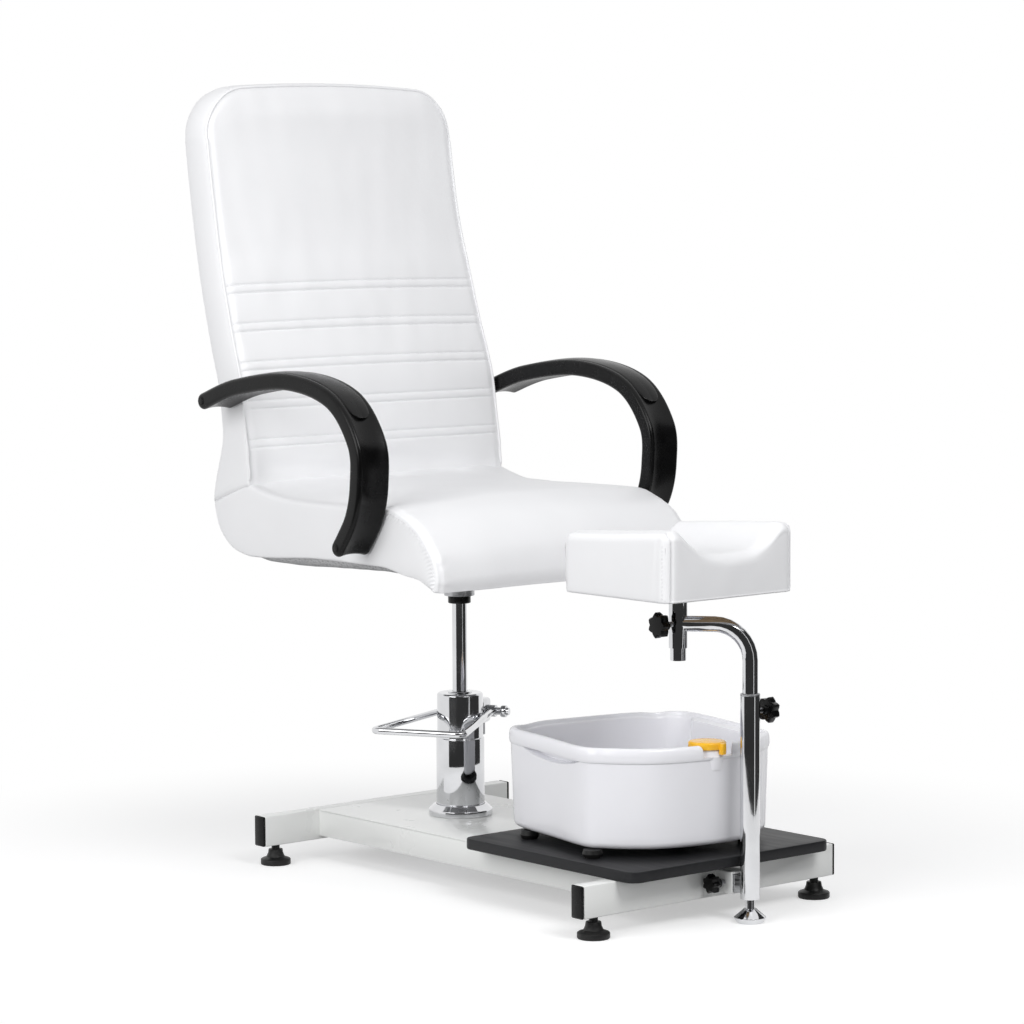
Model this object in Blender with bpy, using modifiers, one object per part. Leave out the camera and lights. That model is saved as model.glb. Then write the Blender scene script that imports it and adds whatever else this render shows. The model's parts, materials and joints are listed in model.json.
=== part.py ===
"""Hydraulic pedicure chair: a padded shell seat on a foot-pumped lift, a welded base, a foot bath on a tray
board and a calf rest on a sliding, swinging column.

Metres, +Z up. The sitter faces -Y, and -X is the sitter's right. Sizes are laid out with the middle of the base
at Y = 0; the root empty then shifts everything so that the origin is the bottom centre of the whole object.
"""
import math

import bmesh
import bpy
from mathutils import Matrix, Vector

# Clearances
SEAT_GAP = 0.0003
RUN_GAP = 0.0004

# Base frame
BASE_LENGTH = 0.784
BASE_WIDTH = 0.500
BAR_DEPTH = 0.025
BAR_HEIGHT = 0.048
BAR_WALL = 0.002
BAR_EDGE = 0.0015
FLOOR_CLEARANCE = 0.032
CAP_THICKNESS = 0.004
CAP_PLUG = 0.012
DECK_WIDTH = 0.290
DECK_THICKNESS = 0.002
RAIL_WIDTH = 0.020
RAIL_HEIGHT = 0.040
RAIL_WALL = 0.0015
BOLSTER_LENGTH = 0.160
BOLSTER_THICKNESS = 0.006

# Levelling feet
FOOT_RADIUS = 0.024
FOOT_RIM = 0.0085
FOOT_NECK_RADIUS = 0.0112
FOOT_NECK_HEIGHT = 0.0245
FOOT_STUD_RADIUS = 0.0065
FOOT_STUD_INSIDE = 0.020
FOOT_INSET = 0.028

# Tray board
BOARD_WIDTH = 0.400
BOARD_DEPTH = 0.382
BOARD_THICKNESS = 0.016
BOARD_OVERHANG = 0.0375
BOARD_CORNER = 0.018
BOARD_X = 0.009

# Hydraulic pump
PUMP_Y = 0.1865
PUMP_YAW = math.radians(209.4)
FLANGE_RADIUS = 0.0505
FLANGE_EDGE = 0.009
FLANGE_HEIGHT = 0.017
CASING_LOWER_RADIUS = 0.0382
CASING_UPPER_RADIUS = 0.0365
CASING_STEP = 0.123
CASING_HEIGHT = 0.1935
CASING_WALL = 0.004
CASING_TOP = 0.009
CYLINDER_RADIUS = 0.0255
CYLINDER_WALL = 0.005
CYLINDER_HEIGHT = 0.178
BUSH_RADIUS = 0.0165
BUSH_LIP_RADIUS = 0.019
BUSH_LIP = 0.002
BUSH_DEPTH = 0.014
ROD_RADIUS = 0.0118
ROD_EXPOSED = 0.142
ROD_IN_HUB = 0.060
LIFT_STROKE = 0.130
PISTON_HEIGHT = 0.025
PISTON_BELOW_CAP = 0.026

# Pump pedal
PIVOT_BEHIND = 0.0485
PIVOT_HEIGHT = 0.2392
SHAFT_RADIUS = 0.006
SHAFT_TAIL = 0.022
SHAFT_STUB = 0.004
NUT_RADIUS = 0.0095
NUT_LENGTH = 0.009
PEDAL_ROD_RADIUS = 0.0053
PEDAL_REACH = 0.2308
PEDAL_DROP = 0.004
PEDAL_HALF_AT_PIVOT = 0.0365
PEDAL_HALF_AT_BAR = 0.0760
PEDAL_BEND = 0.016
PEDAL_EYE_RADIUS = 0.0095
PEDAL_EYE_LENGTH = 0.012
BLOCK_HALF_LENGTH = 0.0300
BLOCK_BELOW_PIVOT = 0.019
BLOCK_ABOVE_PIVOT = 0.0205
BLOCK_BEHIND_PIVOT = 0.0135
BLOCK_ROUND = 0.006
PLUNGER_RADIUS = 0.0045
PLUNGER_OFFSET = 0.019
PLUNGER_LENGTH = 0.032

# Seat carrier
COLLAR_RADIUS = 0.018
COLLAR_HEIGHT = 0.012
HUB_RADIUS = 0.024
HUB_FLANGE_RADIUS = 0.055
HUB_FLANGE = 0.006
HUB_LENGTH = 0.0873
SEAT_PLATE_SIZE = 0.220
SEAT_PLATE_THICKNESS = 0.006

# Padded seat shell
SEAT_HALF_WIDTH = 0.260
BACK_TAPER = 0.010
SHELL_EDGE_COVER = 0.025
SHELL_THICKNESS = 0.012
SHELL_FRONT = -0.045
SHELL_BEND_START = 0.375
# Heights and rises of the padding are measured from the middle of the shell under the seat
SHELL_BEND_RISE = 0.082
BACK_RISE = 0.708
BACK_TOP_CROWN = 0.011
BACK_CORNER = 0.075
SHELL_TOP_INSET = 0.022
BACK_THICKNESS = 0.067
BACK_FOOT_EXTRA = 0.031
BACK_FOOT_RISE = 0.072
BACK_FOOT_FADE = 0.100
COVER_THICKNESS = 0.034
COVER_TOP_DROP = 0.010
COVER_ROUND = 0.012
BACK_CROWN = 0.012
SEAT_CROWN = 0.014
SIDE_DRAW_IN = 0.004
SIDE_INSET = 0.0025
SEAM_TIP_SHARE = 0.12
SEAM_STEP = 0.004
SKIRT_DROP = 0.036
SKIRT_REAR = 0.352
FRONT_LIP_DROP = 0.055
# Rise and Y of the front face of the back, from the crease up
BACK_SHAPE = [(0.032, 0.380), (0.112, 0.389), (0.182, 0.399), (0.242, 0.409), (0.312, 0.432), (0.392, 0.4565),
              (0.472, 0.4775), (0.552, 0.4935), (0.632, 0.5045), (0.722, 0.5095)]
# Y and rise of the top of the seat, from the crease to the bottom of the front roll
SEAT_SHAPE = [(0.350, 0.074), (0.300, 0.067), (0.200, 0.064), (0.050, 0.065), (0.002, 0.055), (-0.037, 0.035),
              (-0.069, 0.0), (-0.081, -0.034), (-0.078, -FRONT_LIP_DROP), (-0.060, 0.001 - FRONT_LIP_DROP)]
CREASE_SHAPE = (0.386, 0.082)
# Y and rise of the outer skin around the heel, from the underside of the seat up to the back
HEEL_SHAPE = [(0.356, -SKIRT_DROP), (0.400, 0.001 - SKIRT_DROP), (0.441, -0.023), (0.471, 0.005), (0.484, 0.043)]
BACK_TAPER_START = 0.172
BACK_TAPER_LENGTH = 0.450
CHANNEL_RISE = 0.381
CHANNEL_STEP = 0.060
CHANNEL_COUNT = 5
CHANNEL_PAIR = 0.013
CHANNEL_WIDTH = 0.006
CHANNEL_DEPTH = 0.003
DUST_COVER_SAG = 0.010
DUST_COVER_THICKNESS = 0.002

# Armrests
ARM_STANDOFF = 0.003
ARM_WIDTH = 0.060
ARM_THICKNESS = 0.022
ARM_WAIST = 0.004
# Y and rise of the middle of the arm, from the back mount to the seat mount
ARM_SHAPE = [(0.4385, 0.2065), (0.340, 0.239), (0.210, 0.253), (0.102, 0.228), (0.0455, 0.164), (0.0400, 0.102),
             (0.092, -0.0045)]
ARM_BOLT_RISE = 0.2115
ARM_BOLT_SEAT = 0.0895
ARM_BOLT_RADIUS = 0.004
ARM_BOLT_IN_SHELL = 0.014
ARM_BOLT_IN_ARM = 0.030
ARM_SPACER_RADIUS = 0.009

# Footrest slide and column
COLUMN_X = 0.022
COLUMN_STANDOFF = 0.056
SOCKET_SIZE = 0.032
SOCKET_WALL = 0.003
SOCKET_STUB = 0.034
SOCKET_LENGTH = 0.230
SLIDE_BAR_LENGTH = 0.300
COLUMN_WALL = 0.0012
COLUMN_BOTTOM = 0.035
COLUMN_TOP = 0.333
COLUMN_PLUG = 0.010
CONE_RADIUS = 0.024
CONE_WAIST_HEIGHT = 0.0075
CONE_BOTTOM_RADIUS = 0.0195
CONE_HEIGHT = 0.0205
CONE_TOP_RADIUS = 0.0095
CONE_STUD_INSIDE = 0.018
BUSH_WALL = 0.0008
BUSH_LENGTH = 0.012
BUSH_TOP = 0.003

# Gooseneck and pad post
NECK_RADIUS = 0.0117
NECK_WALL = 0.0015
NECK_BEND = 0.052
NECK_LEVEL = 0.4367
NECK_REACH = 0.105
NECK_YAW = math.radians(130)
NECK_INSIDE = 0.140
SLEEVE_WALL = 0.0016
SLEEVE_BOTTOM = 0.4013
SLEEVE_TOP = 0.4812
POST_BOTTOM = 0.383
POST_FLANGE_RADIUS = 0.036
POST_FLANGE = 0.003

# Footrest pad
PAD_WIDTH = 0.255
PAD_DEPTH = 0.230
PAD_TOP = 0.590
PAD_BOARD_THICKNESS = 0.012
PAD_BOARD_INSET = 0.008
PAD_CORNER = 0.022
PAD_VALLEY = 0.046
PAD_FRONT_RISE = 0.015
PAD_DRAW_IN = 0.004

# Star knobs
KNOB_LOBES = 7
KNOB_RADIUS = 0.0195
BAR_KNOB_RADIUS = 0.0150
KNOB_LOBE_DEPTH = 0.0046
KNOB_THICKNESS = 0.014
KNOB_BOSS_RADIUS = 0.0075
KNOB_BOSS = 0.007
KNOB_STANDOFF = 0.0165
SCREW_RADIUS = 0.003
SCREW_IN_KNOB = 0.010
COLUMN_KNOB_HEIGHT = 0.309

# Foot bath
TUB_X = 0.012
TUB_SETBACK = 0.189
TUB_YAW = math.radians(-10.6)
TUB_BOTTOM_GAP = 0.0125
TUB_RIM = 0.258
TUB_REAR_RISE = 0.0015
TUB_WALL = 0.0035
TUB_LIP = 0.003
TUB_LIP_HEIGHT = 0.022
TUB_DRAFT = 0.004
TUB_ROUND = 0.008
# X and Y of half the bath's rim from its middle, from the front to the rear
TUB_LINE = [(0.0, -0.160), (0.042, -0.158), (0.078, -0.1495), (0.108, -0.133), (0.139, -0.1075), (0.1630, -0.0725),
            (0.1640, 0.028), (0.1630, 0.120), (0.147, 0.156), (0.110, 0.174), (0.0, 0.179)]
TUB_CREASE = 5
# X of the bath's feet on the right and on the left of its middle, then Y of the rear and the front ones
TUB_FEET_ACROSS = {"right": -0.151, "left": 0.116}
TUB_FEET_ALONG = {"rear": 0.094, "front": -0.088}
TUB_FOOT_RADIUS = 0.0150
DIAL_X = 0.0185
DIAL_Y = -0.133
DIAL_RADIUS = 0.028
DIAL_THICKNESS = 0.010
DIAL_LEVEL = 0.2503
DIAL_CONSOLE_RADIUS = 0.0255
DIAL_CONSOLE_DEPTH = 0.030
DIAL_NOTCH_RADIUS = 0.0365
DIAL_NOTCH_LEVEL = 0.2400
DIAL_TAB_REACH = 0.034
DIAL_TAB_WIDTH = 0.008
DIAL_TAB_DROP = 0.007
DIAL_TAB_YAW = math.radians(-75)

# Facets
ROUND_STEPS = 32
SMALL_STEPS = 24
FOOT_STEPS = 16
TUBE_SIDES = 12

# Levels and places that follow from the sizes above
BAR_TOP = FLOOR_CLEARANCE + BAR_HEIGHT
BAR_MIDDLE = FLOOR_CLEARANCE + BAR_HEIGHT / 2
BAR_Y = BASE_LENGTH / 2 - BAR_DEPTH / 2
BAR_INNER_Y = BASE_LENGTH / 2 - BAR_DEPTH
DECK_BOTTOM = BAR_TOP - DECK_THICKNESS
BOARD_BOTTOM = BAR_TOP + SEAT_GAP
BOARD_FRONT = -BASE_LENGTH / 2 - BOARD_OVERHANG
BOARD_TOP = BOARD_BOTTOM + BOARD_THICKNESS
PUMP_FLOOR = BAR_TOP + SEAT_GAP
CASING_TOP_LEVEL = PUMP_FLOOR + CASING_HEIGHT
ROD_EXIT = CASING_TOP_LEVEL + ROD_EXPOSED
HUB_BOTTOM = ROD_EXIT + COLLAR_HEIGHT + SEAT_GAP
HUB_TOP = HUB_BOTTOM + HUB_LENGTH
ROD_TOP = HUB_BOTTOM + ROD_IN_HUB
SEAT_PLATE_BOTTOM = HUB_TOP + SEAT_GAP
SHELL_BOTTOM = SEAT_PLATE_BOTTOM + SEAT_PLATE_THICKNESS + SEAT_GAP
SHELL_HEIGHT = SHELL_BOTTOM + SHELL_THICKNESS / 2
SHELL_HALF_WIDTH = SEAT_HALF_WIDTH - SHELL_EDGE_COVER
BACK_TOP_HALF_WIDTH = SEAT_HALF_WIDTH - BACK_TAPER
SHELL_BEND_TOP = SHELL_HEIGHT + SHELL_BEND_RISE
BACK_TOP = SHELL_HEIGHT + BACK_RISE
BACK_FOOT_LEVEL = SHELL_HEIGHT + BACK_FOOT_RISE
SKIRT_BOTTOM = SHELL_HEIGHT - SKIRT_DROP
FRONT_LIP_BOTTOM = SHELL_HEIGHT - FRONT_LIP_DROP
BACK_LINE = [(SHELL_HEIGHT + rise, y) for rise, y in BACK_SHAPE]
SEAT_LINE = [(y, SHELL_HEIGHT + rise) for y, rise in SEAT_SHAPE]
CREASE = (CREASE_SHAPE[0], SHELL_HEIGHT + CREASE_SHAPE[1])
HEEL_SKIN = [(y, SHELL_HEIGHT + rise) for y, rise in HEEL_SHAPE]
HEEL = HEEL_SKIN[-1]
CHANNEL_TOP = SHELL_HEIGHT + CHANNEL_RISE
ARM_INNER = SEAT_HALF_WIDTH + ARM_STANDOFF
ARM_LINE = [(y, SHELL_HEIGHT + rise) for y, rise in ARM_SHAPE]
ARM_BOLT_BACK = SHELL_HEIGHT + ARM_BOLT_RISE
COLUMN_Y = -BASE_LENGTH / 2 - COLUMN_STANDOFF
TUB_Y = BOARD_FRONT + TUB_SETBACK
BAR_SIZE = SOCKET_SIZE - 2 * SOCKET_WALL - 2 * RUN_GAP
BUSH_BORE = NECK_RADIUS + RUN_GAP
COLUMN_BORE = BUSH_BORE + BUSH_WALL + RUN_GAP
COLUMN_RADIUS = COLUMN_BORE + COLUMN_WALL
POST_X = COLUMN_X + NECK_REACH * math.cos(NECK_YAW)
POST_Y = COLUMN_Y + NECK_REACH * math.sin(NECK_YAW)
SLEEVE_BORE = NECK_RADIUS + RUN_GAP
SLEEVE_RADIUS = SLEEVE_BORE + SLEEVE_WALL
PAD_BOARD_BOTTOM = SLEEVE_TOP + SEAT_GAP + POST_FLANGE + SEAT_GAP
PAD_BOTTOM = PAD_BOARD_BOTTOM + PAD_BOARD_THICKNESS + SEAT_GAP
TUB_BOTTOM = BOARD_TOP + TUB_BOTTOM_GAP
SOCKET_Y = -BASE_LENGTH / 2 - SOCKET_STUB / 2
# Side stations of the padded shell: those over the shell, then those on the padded rim round it
SHELL_STATIONS = [0.0] + [SHELL_HALF_WIDTH - inwards for inwards in (0.135, 0.063, 0.030, 0.009, 0.0)]
POCKET_EDGE = SHELL_HALF_WIDTH + SEAT_GAP
RIM_START = SHELL_HALF_WIDTH + 2 * SEAT_GAP


# Scene helpers
def clear_scene():
    for obj in list(bpy.data.objects):
        bpy.data.objects.remove(obj, do_unlink=True)


def make_collection(name):
    collection = bpy.data.collections.new(name)
    bpy.context.scene.collection.children.link(collection)
    return collection


def make_material(name, colour, roughness, metallic=0.0):
    material = bpy.data.materials.new(name)
    material.use_nodes = True
    shader = material.node_tree.nodes["Principled BSDF"]
    shader.inputs["Base Color"].default_value = (*colour, 1.0)
    shader.inputs["Roughness"].default_value = roughness
    shader.inputs["Metallic"].default_value = metallic
    return material


clear_scene()
PARTS = make_collection("hydraulic_pedicure_chair")
CUTTERS = make_collection("cutters")


def make_empty(name, parent=None, place=(0, 0, 0), yaw=0.0):
    empty = bpy.data.objects.new(name, None)
    PARTS.objects.link(empty)
    empty.parent = parent
    empty.location = place
    empty.rotation_euler = (0, 0, yaw)
    return empty


def add_part(name, mesh, look, parent, place=(0, 0, 0)):
    obj = bpy.data.objects.new(name, mesh)
    PARTS.objects.link(obj)
    obj.parent = parent
    obj.location = place
    colour, roughness, metallic = look
    mesh.materials.append(make_material(name, colour, roughness, metallic))
    return obj


def add_cutter(name, mesh, parent, place=(0, 0, 0)):
    obj = bpy.data.objects.new(name, mesh)
    CUTTERS.objects.link(obj)
    obj.parent = parent
    obj.location = place
    obj.hide_render = True
    obj.display_type = 'WIRE'
    return obj


def boolean(obj, cutter, operation='DIFFERENCE'):
    modifier = obj.modifiers.new(operation.lower(), 'BOOLEAN')
    modifier.operation = operation
    modifier.solver = 'EXACT'
    modifier.object = cutter


def round_edges(obj, width, segments=2):
    modifier = obj.modifiers.new("rounded", 'BEVEL')
    modifier.width = width
    modifier.segments = segments
    modifier.limit_method = 'ANGLE'
    modifier.angle_limit = math.radians(40)


# Mesh helpers
def box_mesh(name, size, centre=(0, 0, 0)):
    bm = bmesh.new()
    bmesh.ops.create_cube(bm, size=1.0)
    bmesh.ops.scale(bm, vec=size, verts=bm.verts)
    bmesh.ops.translate(bm, vec=centre, verts=bm.verts)
    return finish_mesh(name, bm)


def finish_mesh(name, bm, smooth=False):
    bmesh.ops.recalc_face_normals(bm, faces=bm.faces)
    mesh = bpy.data.meshes.new(name)
    bm.to_mesh(mesh)
    bm.free()
    if smooth:
        mesh.shade_smooth()
        mesh.set_sharp_from_angle(angle=math.radians(35))
    return mesh


def profile_mesh(name, profile, closed):
    """Edges of a turned profile: radius and height, down the outer side and, if closed, back up the bore."""
    mesh = bpy.data.meshes.new(name)
    verts = [(radius, 0, height) for radius, height in profile]
    edges = [(k, k + 1) for k in range(len(verts) - 1)]
    if closed:
        edges.append((len(verts) - 1, 0))
    mesh.from_pydata(verts, edges, [])
    return mesh


def add_turned(name, profile, look, parent, place=(0, 0, 0), steps=ROUND_STEPS, closed=False):
    obj = add_part(name, profile_mesh(name, profile, closed), look, parent, place)
    screw_round(obj, steps)
    return obj


def screw_round(obj, steps):
    modifier = obj.modifiers.new("turned", 'SCREW')
    modifier.steps = steps
    modifier.render_steps = steps
    modifier.use_merge_vertices = True
    modifier.merge_threshold = 0.00001
    modifier.use_smooth_shade = True


def cylinder_mesh(name, radius, start, end, steps=SMALL_STEPS):
    """A plain round bar between two points."""
    start = Vector(start)
    end = Vector(end)
    direction = end - start
    turn = direction.to_track_quat('Z', 'Y').to_matrix().to_4x4()
    bm = bmesh.new()
    matrix = Matrix.Translation((start + end) / 2) @ turn
    bmesh.ops.create_cone(bm, cap_ends=True, segments=steps, radius1=radius, radius2=radius,
                          depth=direction.length, matrix=matrix)
    return finish_mesh(name, bm, smooth=True)


def loft_mesh(name, rings):
    """Closed skin over rings of points, with flat ends."""
    bm = bmesh.new()
    rows = [[bm.verts.new(point) for point in ring] for ring in rings]
    count = len(rows[0])
    for row, following in zip(rows, rows[1:]):
        for k in range(count):
            after = (k + 1) % count
            bm.faces.new((row[k], row[after], following[after], following[k]))
    bm.faces.new(rows[0])
    bm.faces.new(rows[-1])
    bm.normal_update()
    bmesh.ops.triangulate(bm, faces=bm.faces)
    return finish_mesh(name, bm, smooth=True)


def tube_mesh(name, points, radius, sides=TUBE_SIDES, cyclic=False):
    """A round rod along points, as a closed mesh."""
    data = bpy.data.curves.new(name, 'CURVE')
    data.dimensions = '3D'
    data.bevel_depth = radius
    data.bevel_resolution = sides // 2 - 2
    data.use_fill_caps = True
    spline = data.splines.new('POLY')
    spline.points.add(len(points) - 1)
    for target, point in zip(spline.points, points):
        target.co = (*point, 1.0)
    spline.use_cyclic_u = cyclic
    curve = bpy.data.objects.new(name, data)
    PARTS.objects.link(curve)
    graph = bpy.context.evaluated_depsgraph_get()
    mesh = bpy.data.meshes.new_from_object(curve.evaluated_get(graph))
    bpy.data.objects.remove(curve, do_unlink=True)
    bm = bmesh.new()
    bm.from_mesh(mesh)
    bmesh.ops.remove_doubles(bm, verts=bm.verts, dist=0.00001)
    bpy.data.meshes.remove(mesh)
    return finish_mesh(name, bm, smooth=True)


def plate_mesh(name, outline, thickness):
    """A flat plate from an outline in X and Y, from Z = 0 upwards."""
    data = bpy.data.curves.new(name, 'CURVE')
    data.dimensions = '2D'
    data.fill_mode = 'BOTH'
    data.extrude = thickness / 2
    spline = data.splines.new('POLY')
    spline.points.add(len(outline) - 1)
    for target, point in zip(spline.points, outline):
        target.co = (point[0], point[1], 0.0, 1.0)
    spline.use_cyclic_u = True
    curve = bpy.data.objects.new(name, data)
    PARTS.objects.link(curve)
    graph = bpy.context.evaluated_depsgraph_get()
    mesh = bpy.data.meshes.new_from_object(curve.evaluated_get(graph))
    bpy.data.objects.remove(curve, do_unlink=True)
    bm = bmesh.new()
    bm.from_mesh(mesh)
    bpy.data.meshes.remove(mesh)
    bmesh.ops.remove_doubles(bm, verts=bm.verts, dist=0.00001)
    bmesh.ops.translate(bm, vec=(0, 0, thickness / 2), verts=bm.verts)
    return finish_mesh(name, bm)


# Outline helpers
def arc_points(centre, radius, start, end, count):
    """Points on a plane arc, both ends included."""
    points = []
    for k in range(count):
        angle = start + (end - start) * k / (count - 1)
        points.append((centre[0] + radius * math.cos(angle), centre[1] + radius * math.sin(angle)))
    return points


def rounded_rectangle(width, depth, radius, corner_points=5):
    outline = []
    for k, (sx, sy) in enumerate([(1, 1), (-1, 1), (-1, -1), (1, -1)]):
        centre = (sx * (width / 2 - radius), sy * (depth / 2 - radius))
        start = k * math.pi / 2
        outline += arc_points(centre, radius, start, start + math.pi / 2, corner_points)
    return outline


def curve_value(table, at):
    """Smooth value at a place in a table of (place, value) rows in rising order."""
    last = len(table) - 2
    k = 0
    while k < last and at > table[k + 1][0]:
        k += 1
    low = table[max(k - 1, 0)]
    first = table[k]
    second = table[k + 1]
    high = table[min(k + 2, len(table) - 1)]
    step = second[0] - first[0]
    slope_first = (second[1] - low[1]) / (second[0] - low[0])
    slope_second = (high[1] - first[1]) / (high[0] - first[0])
    t = (at - first[0]) / step
    return ((2 * t ** 3 - 3 * t ** 2 + 1) * first[1] + (t ** 3 - 2 * t ** 2 + t) * step * slope_first
            + (3 * t ** 2 - 2 * t ** 3) * second[1] + (t ** 3 - t ** 2) * step * slope_second)


def smooth_path(points, per_span, closed=False):
    """Points on a smooth curve through a few plane points."""
    count = len(points)
    spans = count if closed else count - 1
    path = []
    for k in range(spans):
        if closed:
            a, b, c, d = (Vector(points[(k + j) % count]) for j in (-1, 0, 1, 2))
        else:
            a, b, c, d = (Vector(points[min(max(k + j, 0), count - 1)]) for j in (-1, 0, 1, 2))
        for j in range(per_span):
            t = j / per_span
            path.append(b + (c - a) * (t / 2) + (2 * a - 5 * b + 4 * c - d) * (t * t / 2)
                        + (3 * b - a - 3 * c + d) * (t ** 3 / 2))
    if not closed:
        path.append(Vector(points[-1]))
    return path


def path_normals(path, closed=False):
    """Unit normals of a plane path, to the right of its direction."""
    normals = []
    count = len(path)
    for k in range(count):
        before = path[k - 1] if closed or k else path[0]
        after = path[(k + 1) % count] if closed or k < count - 1 else path[-1]
        along = (after - before).normalized()
        normals.append(Vector((along.y, -along.x)))
    return normals


def ease(value):
    """Smooth step from 0 to 1."""
    value = min(max(value, 0.0), 1.0)
    return value * value * (3 - 2 * value)


# Looks: colour, roughness, metallic
WHITE_PAINT = ((0.80, 0.81, 0.80), 0.35, 0.0)
CHROME = ((0.80, 0.81, 0.83), 0.08, 1.0)
STEEL = ((0.45, 0.46, 0.48), 0.35, 1.0)
BLACK_PLASTIC = ((0.02, 0.021, 0.023), 0.40, 0.0)
BLACK_RUBBER = ((0.015, 0.015, 0.016), 0.60, 0.0)
BLACK_BOARD = ((0.022, 0.023, 0.026), 0.50, 0.0)
WHITE_VINYL = ((0.86, 0.86, 0.87), 0.45, 0.0)
PLYWOOD = ((0.55, 0.40, 0.25), 0.60, 0.0)
GREY_CLOTH = ((0.40, 0.40, 0.41), 0.90, 0.0)
WHITE_PLASTIC = ((0.82, 0.82, 0.85), 0.15, 0.0)
ORANGE_PLASTIC = ((0.90, 0.45, 0.03), 0.30, 0.0)
NYLON = ((0.60, 0.60, 0.58), 0.45, 0.0)


# Padded shell: places on the back are given by a height on its front face and a depth behind it
def back_depth(height):
    return BACK_THICKNESS + BACK_FOOT_EXTRA * ease(1 - (height - BACK_FOOT_LEVEL) / BACK_FOOT_FADE)


def back_place(height, depth):
    probe = 0.001
    slope = (curve_value(BACK_LINE, height + probe) - curve_value(BACK_LINE, height - probe)) / (2 * probe)
    length = math.hypot(slope, 1.0)
    return (curve_value(BACK_LINE, height) + depth / length, height - depth * slope / length)


def corner_drop(x, half_width, radius):
    over = max(abs(x) - (half_width - radius), 0.0)
    return radius - math.sqrt(max(radius * radius - over * over, 0.0))


def back_top(x):
    return BACK_TOP - top_crown(x) - corner_drop(x, BACK_TOP_HALF_WIDTH, BACK_CORNER)


def top_crown(x):
    return BACK_TOP_CROWN * min(abs(x) / BACK_TOP_HALF_WIDTH, 1.0) ** 2


def shell_top(x):
    inset_corner = BACK_CORNER - (BACK_TOP_HALF_WIDTH - SHELL_HALF_WIDTH)
    return BACK_TOP - SHELL_TOP_INSET - top_crown(x) - corner_drop(x, SHELL_HALF_WIDTH, inset_corner)


def shell_depth(height):
    """Depth of the middle of the plywood shell."""
    return back_depth(height) - COVER_THICKNESS - SHELL_THICKNESS / 2


def side_stations():
    """Signed X stations over the shell, then over the padded rim, as (x, share across the rim)."""
    rim = [RIM_START, (RIM_START + SEAT_HALF_WIDTH) / 2, SEAT_HALF_WIDTH]
    half = [(x, None) for x in SHELL_STATIONS[:-1] + [POCKET_EDGE]]
    half += [(x, (x - RIM_START) / (SEAT_HALF_WIDTH - RIM_START)) for x in rim]
    left = [(-x, share) for x, share in reversed(half[1:])]
    return left + half


def back_half_width(height):
    return SEAT_HALF_WIDTH + (BACK_TOP_HALF_WIDTH - SEAT_HALF_WIDTH) * ease(
        (height - SHELL_HEIGHT - BACK_TAPER_START) / BACK_TAPER_LENGTH)


def rim_x(x, share, height):
    """X of a station at a height: the rim narrows as the back tapers towards its top."""
    if share is None:
        return x
    wide = RIM_START + share * (back_half_width(height) - RIM_START)
    return math.copysign(wide, x)


def front_heights():
    """Heights of the front rows of the back: two sewn lines for each channel and plain rows between."""
    rows = [(CREASE[1] + 0.002, 0.0)]
    for k in reversed(range(CHANNEL_COUNT)):
        middle = CHANNEL_TOP - k * CHANNEL_STEP
        half = CHANNEL_PAIR / 2
        rows += [(middle - half - CHANNEL_WIDTH, 0.0), (middle - half, CHANNEL_DEPTH), (middle, 0.0),
                 (middle + half, CHANNEL_DEPTH), (middle + half + CHANNEL_WIDTH, 0.0)]
        if k:
            rows.append((middle + CHANNEL_STEP / 2, 0.0))
    return rows


UPPER_ROWS = 6
SHELL_ROWS = 10
BEND_STEPS = 6


def edge_top(x, share):
    """Height of the shell's top edge at a station; on the padded rim the same line sinks further."""
    return shell_top(x) - 0.030 * (share or 0.0)


def shell_path(x, share):
    """Middle of the plywood shell at a station: along the seat, round the heel and up the back."""
    bend_end = Vector(back_place(SHELL_BEND_TOP, shell_depth(SHELL_BEND_TOP)))
    reach = bend_end.x - SHELL_BEND_START
    rise = bend_end.y - SHELL_HEIGHT
    path = [Vector((SHELL_FRONT, SHELL_HEIGHT)), Vector((SHELL_BEND_START, SHELL_HEIGHT))]
    for k in range(1, BEND_STEPS):
        angle = k / BEND_STEPS * math.pi / 2
        path.append(Vector((SHELL_BEND_START + reach * math.sin(angle),
                            SHELL_HEIGHT + rise * (1 - math.cos(angle)))))
    top = edge_top(x, share)
    for k in range(SHELL_ROWS):
        height = SHELL_BEND_TOP + (top - SHELL_BEND_TOP) * k / (SHELL_ROWS - 1)
        path.append(Vector(back_place(height, shell_depth(height))))
    return path


def offset_path(path, reach):
    """A plane path moved sideways, outwards from the sitter."""
    return [point + normal * reach for point, normal in zip(path, path_normals(path))]


def joint_height(y):
    """Height of the slanting seam between the seat and the back."""
    share = (y - CREASE[0]) / (HEEL[0] - CREASE[0])
    return CREASE[1] + (HEEL[1] - CREASE[1]) * share


def cut_at_joint(path, side):
    """The points of a path on one side of the slanting seam, 1 above it and -1 below it, ending at the seam."""
    kept = []
    room = 0.0
    last = path[-1]
    for point in path:
        before = room
        room = side * (point.y - joint_height(point.x)) - SEAT_GAP
        if room <= 0:
            last = kept[-1].lerp(point, before / (before - room))
            break
        kept.append(point)
    while len(kept) > 1 and (kept[-1] - last).length < SEAM_STEP * (len(path) - len(kept)):
        kept.pop()
    missing = len(path) - len(kept)
    return kept + [kept[-1].lerp(last, (k + 1) / missing) for k in range(missing)]


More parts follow.
